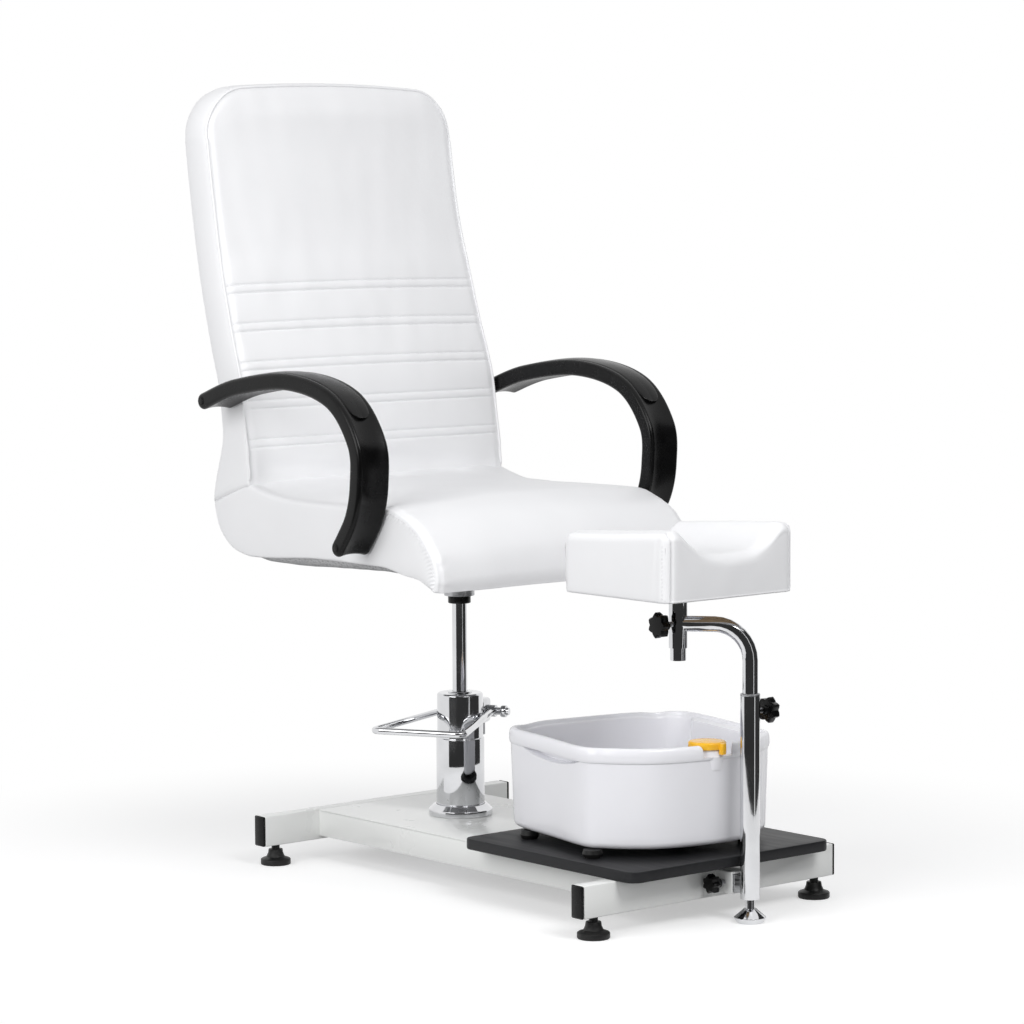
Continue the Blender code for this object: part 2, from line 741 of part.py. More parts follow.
def back_ring(x, share):
    """Outline of the back cushion at one station: up the channelled front, over the top and down the shell."""
    across = min(abs(x) / SEAT_HALF_WIDTH, 1.0)
    crown = BACK_CROWN * (1 - across ** 2)
    top = back_top(x) - 0.004
    rows = front_heights()
    channel_end = rows[-1][0]
    rows += [(channel_end + (top - channel_end) * (k + 1) / UPPER_ROWS, 0.0) for k in range(UPPER_ROWS)]
    ring = []
    for height, sunk in rows:
        swell = crown * ease((height - CREASE[1]) / 0.05) * ease((top - height) / 0.06 + 0.15)
        ring.append(back_place(height, sunk * (1 - across ** 6) - swell))
    rim_depth = back_depth(top) - COVER_THICKNESS
    ring.append(back_place(back_top(x), rim_depth * 0.45))
    ring.append(back_place(top, rim_depth))
    path = shell_path(x, share)
    if share is None:
        pocket_top = edge_top(x, share) + SEAT_GAP
        ring.append(back_place(pocket_top, rim_depth))
        inner = offset_path(path, -SHELL_THICKNESS / 2 - SEAT_GAP)
        inner[-1] = Vector(back_place(pocket_top, shell_depth(pocket_top) - SHELL_THICKNESS / 2 - SEAT_GAP))
    else:
        inner = offset_path(path, SHELL_THICKNESS / 2)
        ring.append(tuple(inner[-1].lerp(Vector(ring[-1]), 0.02)))
    rear = cut_at_joint(inner[:BEND_STEPS - 2:-1], 1)
    ring += [(point.x, point.y) for point in rear]
    ring.append(tuple(rear[-1].lerp(Vector(ring[0]), SEAM_TIP_SHARE)))
    return [(rim_x(x, share, z), y, z) for y, z in ring]


def seat_ring(x, share):
    """Outline of the seat cushion at one station: over the top, round the front roll and back under it."""
    across = min(abs(x) / SEAT_HALF_WIDTH, 1.0)
    crown = SEAT_CROWN * (1 - across ** 2)
    ring = []
    for y, z in [CREASE] + SEAT_LINE:
        swell = crown * ease((CREASE[0] - y) / 0.10) * ease((z - FRONT_LIP_BOTTOM) / 0.10)
        ring.append((y, z + swell))
    front = SHELL_FRONT - SEAT_GAP
    if share is None:
        reach = -SHELL_THICKNESS / 2 - SEAT_GAP
        level = SHELL_HEIGHT - reach
        ring += [(front, SKIRT_BOTTOM), (front, level), (SKIRT_REAR / 2, level), (SKIRT_REAR, level)]
    else:
        reach = SHELL_THICKNESS / 2
        ring += [(front, SKIRT_BOTTOM), (0.0, SKIRT_BOTTOM), (SKIRT_REAR, SKIRT_BOTTOM), (SKIRT_REAR, SHELL_BOTTOM)]
    heel = offset_path(shell_path(x, share), reach)[1:BEND_STEPS + 3]
    ring += [(point.x, point.y) for point in cut_at_joint(heel, -1)]
    return [(x, y, z) for y, z in ring]


def shell_ring(x):
    path = shell_path(x, None)
    half = SHELL_THICKNESS / 2
    ring = offset_path(path, half) + offset_path(path, -half)[::-1]
    return [(x, point.x, point.y) for point in ring]


def drawn_in(ring, inwards):
    """A copy of an end ring, inset all round and pulled in towards the middle of the piece."""
    path = [Vector((y, z)) for x, y, z in ring]
    area = sum(a.x * b.y - b.x * a.y for a, b in zip(path, path[1:] + path[:1]))
    inset = math.copysign(SIDE_INSET, area)
    pulled = []
    for (x, y, z), normal in zip(ring, path_normals(path, closed=True)):
        pulled.append((x - math.copysign(inwards, x), y - normal.x * inset, z - normal.y * inset))
    return pulled


def cover_skin(x):
    """Outer skin of the back cover: under the seat, round the heel, up the back and over its rounded top."""
    top = back_top(x) - COVER_TOP_DROP
    low = HEEL[1] + 0.012
    high = top - COVER_ROUND
    heights = [low + (high - low) * k / (SHELL_ROWS - 1) for k in range(SHELL_ROWS)]
    skin = smooth_path(HEEL_SKIN, 3)[:-1]
    skin += [Vector(back_place(height, back_depth(height))) for height in heights]
    skin.append(Vector(back_place(top - COVER_ROUND * 0.3, back_depth(top) - COVER_ROUND * 0.3)))
    skin.append(Vector(back_place(top, back_depth(top) - COVER_ROUND)))
    return skin


def cover_ring(x, share):
    """Outline of the padded back cover at one station."""
    inner = offset_path(shell_path(x, share), SHELL_THICKNESS / 2 + SEAT_GAP)
    inner[0] = Vector((HEEL_SKIN[0][0], SHELL_BOTTOM - SEAT_GAP))
    top = back_top(x) - COVER_TOP_DROP
    inner.append(Vector(back_place(top, back_depth(top) - COVER_THICKNESS + SEAT_GAP)))
    ring = inner + cover_skin(x)[::-1]
    return [(rim_x(x, share, point.y), point.x, point.y) for point in ring]


def build_root():
    """Root empty that puts the origin at the bottom centre of the object."""
    rear = max(point.x for point in cover_skin(0.0))
    front = POST_Y - PAD_DEPTH / 2
    return make_empty("chair_origin", place=(0, -(rear + front) / 2, 0))


# Base frame
def build_crossbar(root, name, side):
    bar = add_part(name, box_mesh(name, (BASE_WIDTH, BAR_DEPTH, BAR_HEIGHT)), WHITE_PAINT, root,
                   (0, side * BAR_Y, BAR_MIDDLE))
    round_edges(bar, BAR_EDGE)
    bore = (BASE_WIDTH + 0.01, BAR_DEPTH - 2 * BAR_WALL, BAR_HEIGHT - 2 * BAR_WALL)
    boolean(bar, add_cutter(name + "_bore", box_mesh(name + "_bore", bore), root, bar.location))
    for hand in (-1, 1):
        hole = cylinder_mesh(name + "_stud_hole", FOOT_STUD_RADIUS + RUN_GAP,
                             (hand * foot_x(), side * BAR_Y, FLOOR_CLEARANCE - BAR_WALL),
                             (hand * foot_x(), side * BAR_Y, FLOOR_CLEARANCE + 2 * BAR_WALL))
        boolean(bar, add_cutter(name + "_stud_hole", hole, root))
    return bar


def foot_x():
    return BASE_WIDTH / 2 - FOOT_INSET


def build_cap(root, name, hand, side):
    plate = box_mesh(name, (CAP_THICKNESS, BAR_DEPTH, BAR_HEIGHT))
    x = hand * (BASE_WIDTH / 2 + SEAT_GAP + CAP_THICKNESS / 2)
    cap = add_part(name, plate, BLACK_PLASTIC, root, (x, side * BAR_Y, BAR_MIDDLE))
    wall = 2 * (BAR_WALL + SEAT_GAP)
    length = CAP_PLUG + CAP_THICKNESS / 2
    plug = box_mesh(name + "_plug", (length, BAR_DEPTH - wall, BAR_HEIGHT - wall))
    place = (x - hand * length / 2, side * BAR_Y, BAR_MIDDLE)
    round_edges(cap, BAR_EDGE, 1)
    boolean(cap, add_cutter(name + "_plug", plug, root, place), 'UNION')


def build_levelling_foot(root, name, hand, side):
    stud_top = FLOOR_CLEARANCE + FOOT_STUD_INSIDE
    profile = [(0, stud_top), (FOOT_STUD_RADIUS, stud_top), (FOOT_STUD_RADIUS, FOOT_NECK_HEIGHT),
               (FOOT_NECK_RADIUS, FOOT_NECK_HEIGHT), (FOOT_NECK_RADIUS * 1.08, FOOT_NECK_HEIGHT * 0.75),
               (FOOT_RADIUS * 0.62, FOOT_NECK_HEIGHT * 0.50), (FOOT_RADIUS * 0.92, FOOT_RIM * 1.15),
               (FOOT_RADIUS, FOOT_RIM), (FOOT_RADIUS, FOOT_RIM * 0.12), (FOOT_RADIUS * 0.96, 0), (0, 0)]
    add_turned(name, profile, BLACK_RUBBER, root, (hand * foot_x(), side * BAR_Y, 0), FOOT_STEPS)


def build_rail(root, name, hand):
    length = 2 * (BAR_INNER_Y - SEAT_GAP)
    top = DECK_BOTTOM - SEAT_GAP
    place = (hand * (DECK_WIDTH / 2 - RAIL_WIDTH / 2), 0, top - RAIL_HEIGHT / 2)
    rail = add_part(name, box_mesh(name, (RAIL_WIDTH, length, RAIL_HEIGHT)), WHITE_PAINT, root, place)
    bore = (RAIL_WIDTH - 2 * RAIL_WALL, length + 0.01, RAIL_HEIGHT - 2 * RAIL_WALL)
    boolean(rail, add_cutter(name + "_bore", box_mesh(name + "_bore", bore), root, place))


def build_deck(root):
    length = 2 * (BAR_INNER_Y - SEAT_GAP)
    add_part("deck_plate", box_mesh("deck_plate", (DECK_WIDTH, length, DECK_THICKNESS)), WHITE_PAINT, root,
             (0, 0, BAR_TOP - DECK_THICKNESS / 2))
    width = DECK_WIDTH - 2 * (RAIL_WIDTH + SEAT_GAP)
    top = DECK_BOTTOM - SEAT_GAP
    add_part("pump_bolster", box_mesh("pump_bolster", (width, BOLSTER_LENGTH, BOLSTER_THICKNESS)), STEEL, root,
             (0, PUMP_Y, top - BOLSTER_THICKNESS / 2))


def build_board(root):
    outline = rounded_rectangle(BOARD_WIDTH, BOARD_DEPTH, BOARD_CORNER)
    board = add_part("tray_board", plate_mesh("tray_board", outline, BOARD_THICKNESS), BLACK_BOARD, root,
                     (BOARD_X, BOARD_FRONT + BOARD_DEPTH / 2, BOARD_BOTTOM))
    round_edges(board, 0.001, 1)


def build_socket(root, front_bar):
    """Square socket tube through the front crossbar, with its clamp-screw hole."""
    front = -BASE_LENGTH / 2 - SOCKET_STUB
    place = (COLUMN_X, front + SOCKET_LENGTH / 2, BAR_MIDDLE)
    outside = (SOCKET_SIZE, SOCKET_LENGTH, SOCKET_SIZE)
    socket = add_part("footrest_socket", box_mesh("footrest_socket", outside), WHITE_PAINT, root, place)
    inside = SOCKET_SIZE - 2 * SOCKET_WALL
    bore = box_mesh("socket_bore", (inside, SOCKET_LENGTH + 0.01, inside))
    boolean(socket, add_cutter("socket_bore", bore, root, place))
    wall = COLUMN_X - SOCKET_SIZE / 2
    hole = cylinder_mesh("socket_screw_hole", SCREW_RADIUS + RUN_GAP, (wall - 0.002, SOCKET_Y, BAR_MIDDLE),
                         (wall + SOCKET_WALL + 0.002, SOCKET_Y, BAR_MIDDLE), 16)
    boolean(socket, add_cutter("socket_screw_hole", hole, root))
    opening = SOCKET_SIZE + 2 * SEAT_GAP
    window = box_mesh("socket_window", (opening, BAR_DEPTH * 2, opening))
    boolean(front_bar, add_cutter("socket_window", window, root, (COLUMN_X, -BAR_Y, BAR_MIDDLE)))


def build_base(root):
    build_crossbar(root, "rear_crossbar", 1)
    front_bar = build_crossbar(root, "front_crossbar", -1)
    for end, side in (("rear", 1), ("front", -1)):
        for hand_name, hand in (("right", -1), ("left", 1)):
            build_cap(root, f"end_cap_{end}_{hand_name}", hand, side)
            build_levelling_foot(root, f"levelling_foot_{end}_{hand_name}", hand, side)
    build_rail(root, "side_rail_right", -1)
    build_rail(root, "side_rail_left", 1)
    build_deck(root)
    build_board(root)
    build_socket(root, front_bar)


# Hydraulic pump
def build_pump(root):
    axis = (0, PUMP_Y, 0)
    bore = CASING_LOWER_RADIUS + SEAT_GAP
    flange = [(bore, PUMP_FLOOR + FLANGE_HEIGHT), (bore + 0.003, PUMP_FLOOR + FLANGE_HEIGHT),
              (FLANGE_RADIUS - 0.0015, PUMP_FLOOR + FLANGE_EDGE + 0.001), (FLANGE_RADIUS, PUMP_FLOOR + FLANGE_EDGE),
              (FLANGE_RADIUS, PUMP_FLOOR), (bore, PUMP_FLOOR)]
    add_turned("pump_flange", flange, CHROME, root, axis, closed=True)
    top = CASING_TOP_LEVEL
    step = PUMP_FLOOR + CASING_STEP
    inside = CASING_UPPER_RADIUS - CASING_WALL
    hole = BUSH_RADIUS + SEAT_GAP
    casing = [(hole, top), (CASING_UPPER_RADIUS - 0.0025, top), (CASING_UPPER_RADIUS, top - 0.0025),
              (CASING_UPPER_RADIUS, step), (CASING_LOWER_RADIUS, step - 0.001), (CASING_LOWER_RADIUS, PUMP_FLOOR),
              (inside, PUMP_FLOOR), (inside, top - CASING_TOP), (hole, top - CASING_TOP)]
    add_turned("pump_casing", casing, CHROME, root, axis, closed=True)
    cylinder_top = PUMP_FLOOR + CYLINDER_HEIGHT
    cylinder_bore = CYLINDER_RADIUS - CYLINDER_WALL
    cylinder = [(cylinder_bore, cylinder_top), (CYLINDER_RADIUS, cylinder_top), (CYLINDER_RADIUS, PUMP_FLOOR),
                (cylinder_bore, PUMP_FLOOR)]
    add_turned("pressure_cylinder", cylinder, STEEL, root, axis, SMALL_STEPS, closed=True)
    lip_top = top + SEAT_GAP + BUSH_LIP
    rod_bore = ROD_RADIUS + RUN_GAP
    bush = [(rod_bore, lip_top), (BUSH_LIP_RADIUS - 0.001, lip_top), (BUSH_LIP_RADIUS, lip_top - 0.001),
            (BUSH_LIP_RADIUS, top + SEAT_GAP), (BUSH_RADIUS, top + SEAT_GAP), (BUSH_RADIUS, top - BUSH_DEPTH),
            (rod_bore, top - BUSH_DEPTH)]
    add_turned("rod_guide_bush", bush, CHROME, root, axis, closed=True)
    piston_top = top - PISTON_BELOW_CAP
    rod_bottom = piston_top + SEAT_GAP
    rod = [(0, ROD_TOP), (ROD_RADIUS - 0.001, ROD_TOP), (ROD_RADIUS, ROD_TOP - 0.001), (ROD_RADIUS, rod_bottom),
           (0, rod_bottom)]
    add_turned("piston_rod", rod, CHROME, root, axis)
    piston_radius = cylinder_bore - RUN_GAP
    piston_bottom = piston_top - PISTON_HEIGHT
    piston = [(0, piston_top), (piston_radius, piston_top), (piston_radius, piston_top - PISTON_HEIGHT * 0.4),
              (piston_radius - 0.002, piston_top - PISTON_HEIGHT * 0.45),
              (piston_radius - 0.002, piston_top - PISTON_HEIGHT * 0.6),
              (piston_radius, piston_top - PISTON_HEIGHT * 0.65), (piston_radius, piston_bottom), (0, piston_bottom)]
    add_turned("piston_head", piston, STEEL, root, axis, SMALL_STEPS)


def pedal_points():
    """Middle of the pedal rod, from one eye round the foot bar to the other, with rounded corners."""
    corners = [Vector((0, -PEDAL_HALF_AT_PIVOT, 0)), Vector((PEDAL_REACH, -PEDAL_HALF_AT_BAR, -PEDAL_DROP)),
               Vector((PEDAL_REACH, PEDAL_HALF_AT_BAR, -PEDAL_DROP)), Vector((0, PEDAL_HALF_AT_PIVOT, 0))]
    points = [corners[0]]
    bend_steps = 6
    for before, corner, after in zip(corners, corners[1:], corners[2:]):
        start = corner + (before - corner).normalized() * PEDAL_BEND
        end = corner + (after - corner).normalized() * PEDAL_BEND
        for k in range(bend_steps + 1):
            t = k / bend_steps
            points.append(start * (1 - t) ** 2 + corner * (2 * t * (1 - t)) + end * t ** 2)
    points.append(corners[-1])
    return points


def build_pedal(root):
    """Pedal block on the casing, and the pedal on its cross shaft. The empty's +X points at the foot bar."""
    pump = make_empty("pump_axis", root, (0, PUMP_Y, 0), PUMP_YAW)
    pivot = make_empty("pedal_pivot", pump, (-PIVOT_BEHIND, 0, PIVOT_HEIGHT))
    half = PEDAL_HALF_AT_PIVOT
    near_end = half + PEDAL_EYE_LENGTH / 2 + SHAFT_TAIL
    far_end = half + PEDAL_EYE_LENGTH / 2 + SHAFT_STUB
    shaft = cylinder_mesh("pedal_shaft", SHAFT_RADIUS, (0, -far_end, 0), (0, near_end, 0))
    add_part("pedal_shaft", shaft, CHROME, pivot)
    nut_start = near_end - NUT_LENGTH - 0.004
    nut = add_part("shaft_nut", cylinder_mesh("shaft_nut", NUT_RADIUS, (0, nut_start, 0),
                                              (0, nut_start + NUT_LENGTH, 0)), CHROME, pivot)
    round_edges(nut, 0.0015)
    loose = SHAFT_RADIUS + SEAT_GAP
    nut_bore = cylinder_mesh("nut_bore", loose, (0, nut_start - 0.01, 0), (0, near_end + 0.01, 0))
    boolean(nut, add_cutter("nut_bore", nut_bore, pivot))
    loop = add_part("pedal_loop", tube_mesh("pedal_loop", pedal_points(), PEDAL_ROD_RADIUS, 12), CHROME, pivot)
    for hand in (-1, 1):
        eye = cylinder_mesh("pedal_eye", PEDAL_EYE_RADIUS, (0, hand * half - PEDAL_EYE_LENGTH / 2, 0),
                            (0, hand * half + PEDAL_EYE_LENGTH / 2, 0))
        boolean(loop, add_cutter("pedal_eye", eye, pivot), 'UNION')
    eye_bore = cylinder_mesh("pedal_eye_bore", loose, (0, -far_end - 0.01, 0), (0, near_end + 0.01, 0))
    boolean(loop, add_cutter("pedal_eye_bore", eye_bore, pivot))
    block_front = PIVOT_BEHIND - CASING_UPPER_RADIUS * 0.6
    size = (block_front + BLOCK_BEHIND_PIVOT, 2 * BLOCK_HALF_LENGTH, BLOCK_BELOW_PIVOT + BLOCK_ABOVE_PIVOT)
    centre = ((block_front - BLOCK_BEHIND_PIVOT) / 2, 0, (BLOCK_ABOVE_PIVOT - BLOCK_BELOW_PIVOT) / 2)
    block = add_part("pedal_block", box_mesh("pedal_block", size, centre), CHROME, pivot)
    round_edges(block, BLOCK_ROUND, 3)
    body = cylinder_mesh("block_seat", CASING_UPPER_RADIUS + SEAT_GAP, (0, 0, CASING_STEP),
                         (0, 0, CASING_TOP_LEVEL + 0.05), ROUND_STEPS)
    boolean(block, add_cutter("block_seat", body, pump))
    running = SHAFT_RADIUS + RUN_GAP
    shaft_bore = cylinder_mesh("block_shaft_bore", running, (0, -far_end, 0), (0, near_end, 0))
    boolean(block, add_cutter("block_shaft_bore", shaft_bore, pivot))
    plunger_top = -SHAFT_RADIUS - SEAT_GAP
    foot = (0, PLUNGER_OFFSET, plunger_top - PLUNGER_LENGTH)
    head = (0, PLUNGER_OFFSET, plunger_top)
    plunger_bore = cylinder_mesh("plunger_bore", PLUNGER_RADIUS + RUN_GAP, (0, PLUNGER_OFFSET, foot[2] - 0.02),
                                 (0, PLUNGER_OFFSET, 0))
    boolean(block, add_cutter("plunger_bore", plunger_bore, pivot))
    add_part("pump_plunger", cylinder_mesh("pump_plunger", PLUNGER_RADIUS, foot, head, 16), STEEL, pivot)


# Seat
def build_carrier(root):
    axis = (0, PUMP_Y, 0)
    bore = ROD_RADIUS + RUN_GAP
    collar_top = ROD_EXIT + COLLAR_HEIGHT
    collar = [(bore, collar_top), (COLLAR_RADIUS, collar_top), (COLLAR_RADIUS, ROD_EXIT + 0.001),
              (COLLAR_RADIUS - 0.001, ROD_EXIT), (bore, ROD_EXIT)]
    add_turned("seat_collar", collar, BLACK_PLASTIC, root, axis, closed=True)
    roof = ROD_TOP + RUN_GAP
    hub = [(0, HUB_TOP), (HUB_FLANGE_RADIUS, HUB_TOP), (HUB_FLANGE_RADIUS, HUB_TOP - HUB_FLANGE),
           (HUB_RADIUS + 0.004, HUB_TOP - HUB_FLANGE), (HUB_RADIUS, HUB_TOP - HUB_FLANGE - 0.004),
           (HUB_RADIUS, HUB_BOTTOM), (bore, HUB_BOTTOM), (bore, roof), (0, roof)]
    add_turned("swivel_hub", hub, STEEL, root, axis)
    plate = box_mesh("seat_plate", (SEAT_PLATE_SIZE, SEAT_PLATE_SIZE, SEAT_PLATE_THICKNESS))
    add_part("seat_plate", plate, STEEL, root, (0, PUMP_Y, SEAT_PLATE_BOTTOM + SEAT_PLATE_THICKNESS / 2))


def arm_bolt_places():
    """Y and height of the two arm bolts of a side, both in the middle of the shell's edge."""
    back_y, back_z = back_place(ARM_BOLT_BACK, shell_depth(ARM_BOLT_BACK))
    return {"back": (back_y, back_z), "seat": (ARM_BOLT_SEAT, SHELL_HEIGHT)}


def build_padding(root):
    stations = side_stations()
    shell_x = [-x for x in reversed(SHELL_STATIONS[1:])] + SHELL_STATIONS
    shell = add_part("seat_shell", loft_mesh("seat_shell", [shell_ring(x) for x in shell_x]), PLYWOOD, root)
    rings = [seat_ring(x, share) for x, share in stations]
    rings = [drawn_in(rings[0], SIDE_DRAW_IN)] + rings + [drawn_in(rings[-1], SIDE_DRAW_IN)]
    seat = add_part("seat_cushion", loft_mesh("seat_cushion", rings), WHITE_VINYL, root)
    rings = [back_ring(x, share) for x, share in stations]
    rings = [drawn_in(rings[0], SIDE_DRAW_IN)] + rings + [drawn_in(rings[-1], SIDE_DRAW_IN)]
    back = add_part("back_cushion", loft_mesh("back_cushion", rings), WHITE_VINYL, root)
    rings = [cover_ring(x, share) for x, share in stations]
    add_part("back_cover", loft_mesh("back_cover", rings), WHITE_VINYL, root)
    clearance = ARM_BOLT_RADIUS + SEAT_GAP
    for hand in (-1, 1):
        for name, (y, z) in arm_bolt_places().items():
            inner = hand * (SHELL_HALF_WIDTH - ARM_BOLT_IN_SHELL - SEAT_GAP)
            hole = cylinder_mesh("arm_bolt_hole", clearance, (inner, y, z), (hand * ARM_INNER * 1.1, y, z), 12)
            cutter = add_cutter("arm_bolt_hole", hole, root)
            boolean(shell, cutter)
            boolean(seat if name == "seat" else back, cutter)


def build_dust_cover(root):
    """Cloth under the seat: a thin sheet that sags between the padded skirts."""
    half_x = SHELL_HALF_WIDTH
    front = SHELL_FRONT + 0.004
    rear = SKIRT_REAR - SEAT_GAP
    top = SKIRT_BOTTOM - SEAT_GAP
    reach = half_x + 0.012
    columns = 8
    rows = 8
    rings = []
    for j in range(rows + 1):
        y = front + (rear - front) * j / rows
        upper = []
        for k in range(columns + 1):
            across = 2 * k / columns - 1
            along = 2 * j / rows - 1
            sag = DUST_COVER_SAG * (1 - across ** 2) * (1 - along ** 2)
            upper.append((across * reach, y, top - sag))
        lower = [(x, y, z - DUST_COVER_THICKNESS) for x, y, z in reversed(upper)]
        rings.append(upper + lower)
    cover = add_part("dust_cover", loft_mesh("dust_cover", rings), GREY_CLOTH, root)
    opening = cylinder_mesh("dust_cover_hole", HUB_RADIUS + 0.003, (0, PUMP_Y, HUB_BOTTOM),
                            (0, PUMP_Y, HUB_TOP), ROUND_STEPS)
    boolean(cover, add_cutter("dust_cover_hole", opening, root))


ARM_SECTION_STEPS = 5
ARM_PATH_STEPS = 4


def arm_section():
    """Half section of an arm: a flat band with a round bead along each edge, as (across, out) points."""
    bead = ARM_THICKNESS / 2
    straight = ARM_WIDTH / 2 - bead
    right = [(straight + bead * math.cos(a), bead * math.sin(a))
             for a in [math.pi / 2 - k * math.pi / (ARM_SECTION_STEPS - 1) for k in range(ARM_SECTION_STEPS)]]
    left = [(-across, -out) for across, out in right]
    middle = bead - ARM_WAIST / 2
    return right + [(0, -middle)] + left + [(0, middle)]


def build_arm(root, name, hand):
    path = smooth_path(ARM_LINE, ARM_PATH_STEPS)
    normals = path_normals(path)
    section = arm_section()
    rings = []
    centre = ARM_INNER + ARM_WIDTH / 2
    shrink_ends = {0: 0.72, len(path) - 1: 0.72}
    for k, (point, normal) in enumerate(zip(path, normals)):
        scale = shrink_ends.get(k, 1.0)
        rings.append([(hand * (centre + across * (0.5 + scale / 2)), point.x - normal.x * out * scale,
                       point.y - normal.y * out * scale) for across, out in section])
    arm = add_part(name, loft_mesh(name, rings), BLACK_PLASTIC, root)
    for end, (y, z) in arm_bolt_places().items():
        hole = cylinder_mesh("arm_hole", ARM_BOLT_RADIUS + SEAT_GAP, (hand * (ARM_INNER - 0.01), y, z),
                             (hand * (ARM_INNER + ARM_BOLT_IN_ARM + SEAT_GAP), y, z), 12)
        boolean(arm, add_cutter("arm_hole", hole, root))
        build_arm_bolt(root, f"arm_bolt_{'right' if hand < 0 else 'left'}_{end}", hand, y, z)


def build_arm_bolt(root, name, hand, y, z):
    """Bolt from the arm through a spacer and the padding into the edge of the shell."""
    bolt = cylinder_mesh(name, ARM_BOLT_RADIUS, (hand * (SHELL_HALF_WIDTH - ARM_BOLT_IN_SHELL), y, z),
                         (hand * (ARM_INNER + ARM_BOLT_IN_ARM), y, z), 12)
    part = add_part(name, bolt, STEEL, root)
    spacer = cylinder_mesh(name + "_spacer", ARM_SPACER_RADIUS, (hand * (SEAT_HALF_WIDTH + SEAT_GAP), y, z),
                           (hand * (ARM_INNER - SEAT_GAP), y, z), 16)
    boolean(part, add_cutter(name + "_spacer", spacer, root), 'UNION')


def build_seat(root):
    build_carrier(root)
    build_padding(root)
    build_dust_cover(root)
    build_arm(root, "armrest_right", -1)
    build_arm(root, "armrest_left", 1)


# Footrest
def build_column(root):
    rear = COLUMN_Y + SLIDE_BAR_LENGTH
    bar = box_mesh("slide_bar", (BAR_SIZE, SLIDE_BAR_LENGTH, BAR_SIZE))
    slide = add_part("slide_bar", bar, STEEL, root, (COLUMN_X, (COLUMN_Y + rear) / 2, BAR_MIDDLE))
    saddle = cylinder_mesh("bar_saddle", COLUMN_RADIUS + SEAT_GAP, (COLUMN_X, COLUMN_Y, BAR_MIDDLE - BAR_SIZE),
                           (COLUMN_X, COLUMN_Y, BAR_MIDDLE + BAR_SIZE))
    boolean(slide, add_cutter("bar_saddle", saddle, root))
    axis = (COLUMN_X, COLUMN_Y, 0)
    stud_bore = FOOT_STUD_RADIUS + RUN_GAP
    plug_top = COLUMN_BOTTOM + COLUMN_PLUG
    tube = [(COLUMN_BORE, COLUMN_TOP), (COLUMN_RADIUS, COLUMN_TOP), (COLUMN_RADIUS, COLUMN_BOTTOM),
            (stud_bore, COLUMN_BOTTOM), (stud_bore, plug_top), (COLUMN_BORE, plug_top)]
    column = add_turned("footrest_column", tube, CHROME, root, axis, SMALL_STEPS, closed=True)
    hole = cylinder_mesh("column_screw_hole", SCREW_RADIUS + RUN_GAP,
                         (COLUMN_X + COLUMN_BORE - 0.004, COLUMN_Y, COLUMN_KNOB_HEIGHT),
                         (COLUMN_X + COLUMN_RADIUS + 0.004, COLUMN_Y, COLUMN_KNOB_HEIGHT), 16)
    boolean(column, add_cutter("column_screw_hole", hole, root))
    stud_top = COLUMN_BOTTOM + CONE_STUD_INSIDE
    cone = [(0, stud_top), (FOOT_STUD_RADIUS, stud_top), (FOOT_STUD_RADIUS, CONE_HEIGHT),
            (CONE_TOP_RADIUS, CONE_HEIGHT), (CONE_RADIUS, CONE_WAIST_HEIGHT + 0.001),
            (CONE_RADIUS, CONE_WAIST_HEIGHT - 0.001), (CONE_BOTTOM_RADIUS, 0), (0, 0)]
    add_turned("column_foot", cone, CHROME, root, axis, SMALL_STEPS)
    lip = COLUMN_TOP + SEAT_GAP
    bush_outer = BUSH_BORE + BUSH_WALL
    bush = [(BUSH_BORE, lip + BUSH_TOP), (COLUMN_RADIUS - 0.0006, lip + BUSH_TOP),
            (COLUMN_RADIUS, lip + BUSH_TOP - 0.0006), (COLUMN_RADIUS, lip), (bush_outer, lip),
            (bush_outer, COLUMN_TOP - BUSH_LENGTH), (BUSH_BORE, COLUMN_TOP - BUSH_LENGTH)]
    add_turned("column_bush", bush, BLACK_PLASTIC, root, axis, SMALL_STEPS, closed=True)


def neck_points(start_level, reach):
    """Middle of the gooseneck: up the column, round the bend and out towards the sleeve."""
    along = Vector((math.cos(NECK_YAW), math.sin(NECK_YAW), 0))
    points = [Vector((0, 0, start_level))]
    bend_steps = 8
    for k in range(bend_steps + 1):
        angle = k / bend_steps * math.pi / 2
        points.append(along * (NECK_BEND * (1 - math.cos(angle)))
                      + Vector((0, 0, NECK_LEVEL - NECK_BEND * (1 - math.sin(angle)))))
    points.append(along * reach + Vector((0, 0, NECK_LEVEL)))
    return points


def build_gooseneck(root):
    axis = make_empty("gooseneck_axis", root, (COLUMN_X, COLUMN_Y, 0))
    start = COLUMN_TOP - NECK_INSIDE
    neck = add_part("gooseneck", tube_mesh("gooseneck", neck_points(start, NECK_REACH), NECK_RADIUS), CHROME, axis)
    wall = NECK_RADIUS - NECK_WALL
    bore = tube_mesh("gooseneck_bore", neck_points(start - 0.01, NECK_REACH - SLEEVE_RADIUS), wall, 12)
    boolean(neck, add_cutter("gooseneck_bore", bore, axis))
    post_x = POST_X - COLUMN_X
    post_y = POST_Y - COLUMN_Y
    sleeve = cylinder_mesh("sleeve", SLEEVE_RADIUS, (post_x, post_y, SLEEVE_BOTTOM), (post_x, post_y, SLEEVE_TOP))
    boolean(neck, add_cutter("sleeve", sleeve, axis), 'UNION')
    hollow = cylinder_mesh("sleeve_bore", SLEEVE_BORE, (post_x, post_y, SLEEVE_BOTTOM - 0.01),
                           (post_x, post_y, SLEEVE_TOP + 0.01))
    boolean(neck, add_cutter("sleeve_bore", hollow, axis))
    hole = cylinder_mesh("sleeve_screw_hole", SCREW_RADIUS + RUN_GAP, (post_x, post_y, NECK_LEVEL),
                         (post_x - SLEEVE_RADIUS - 0.004, post_y, NECK_LEVEL), 16)
    boolean(neck, add_cutter("sleeve_screw_hole", hole, axis))


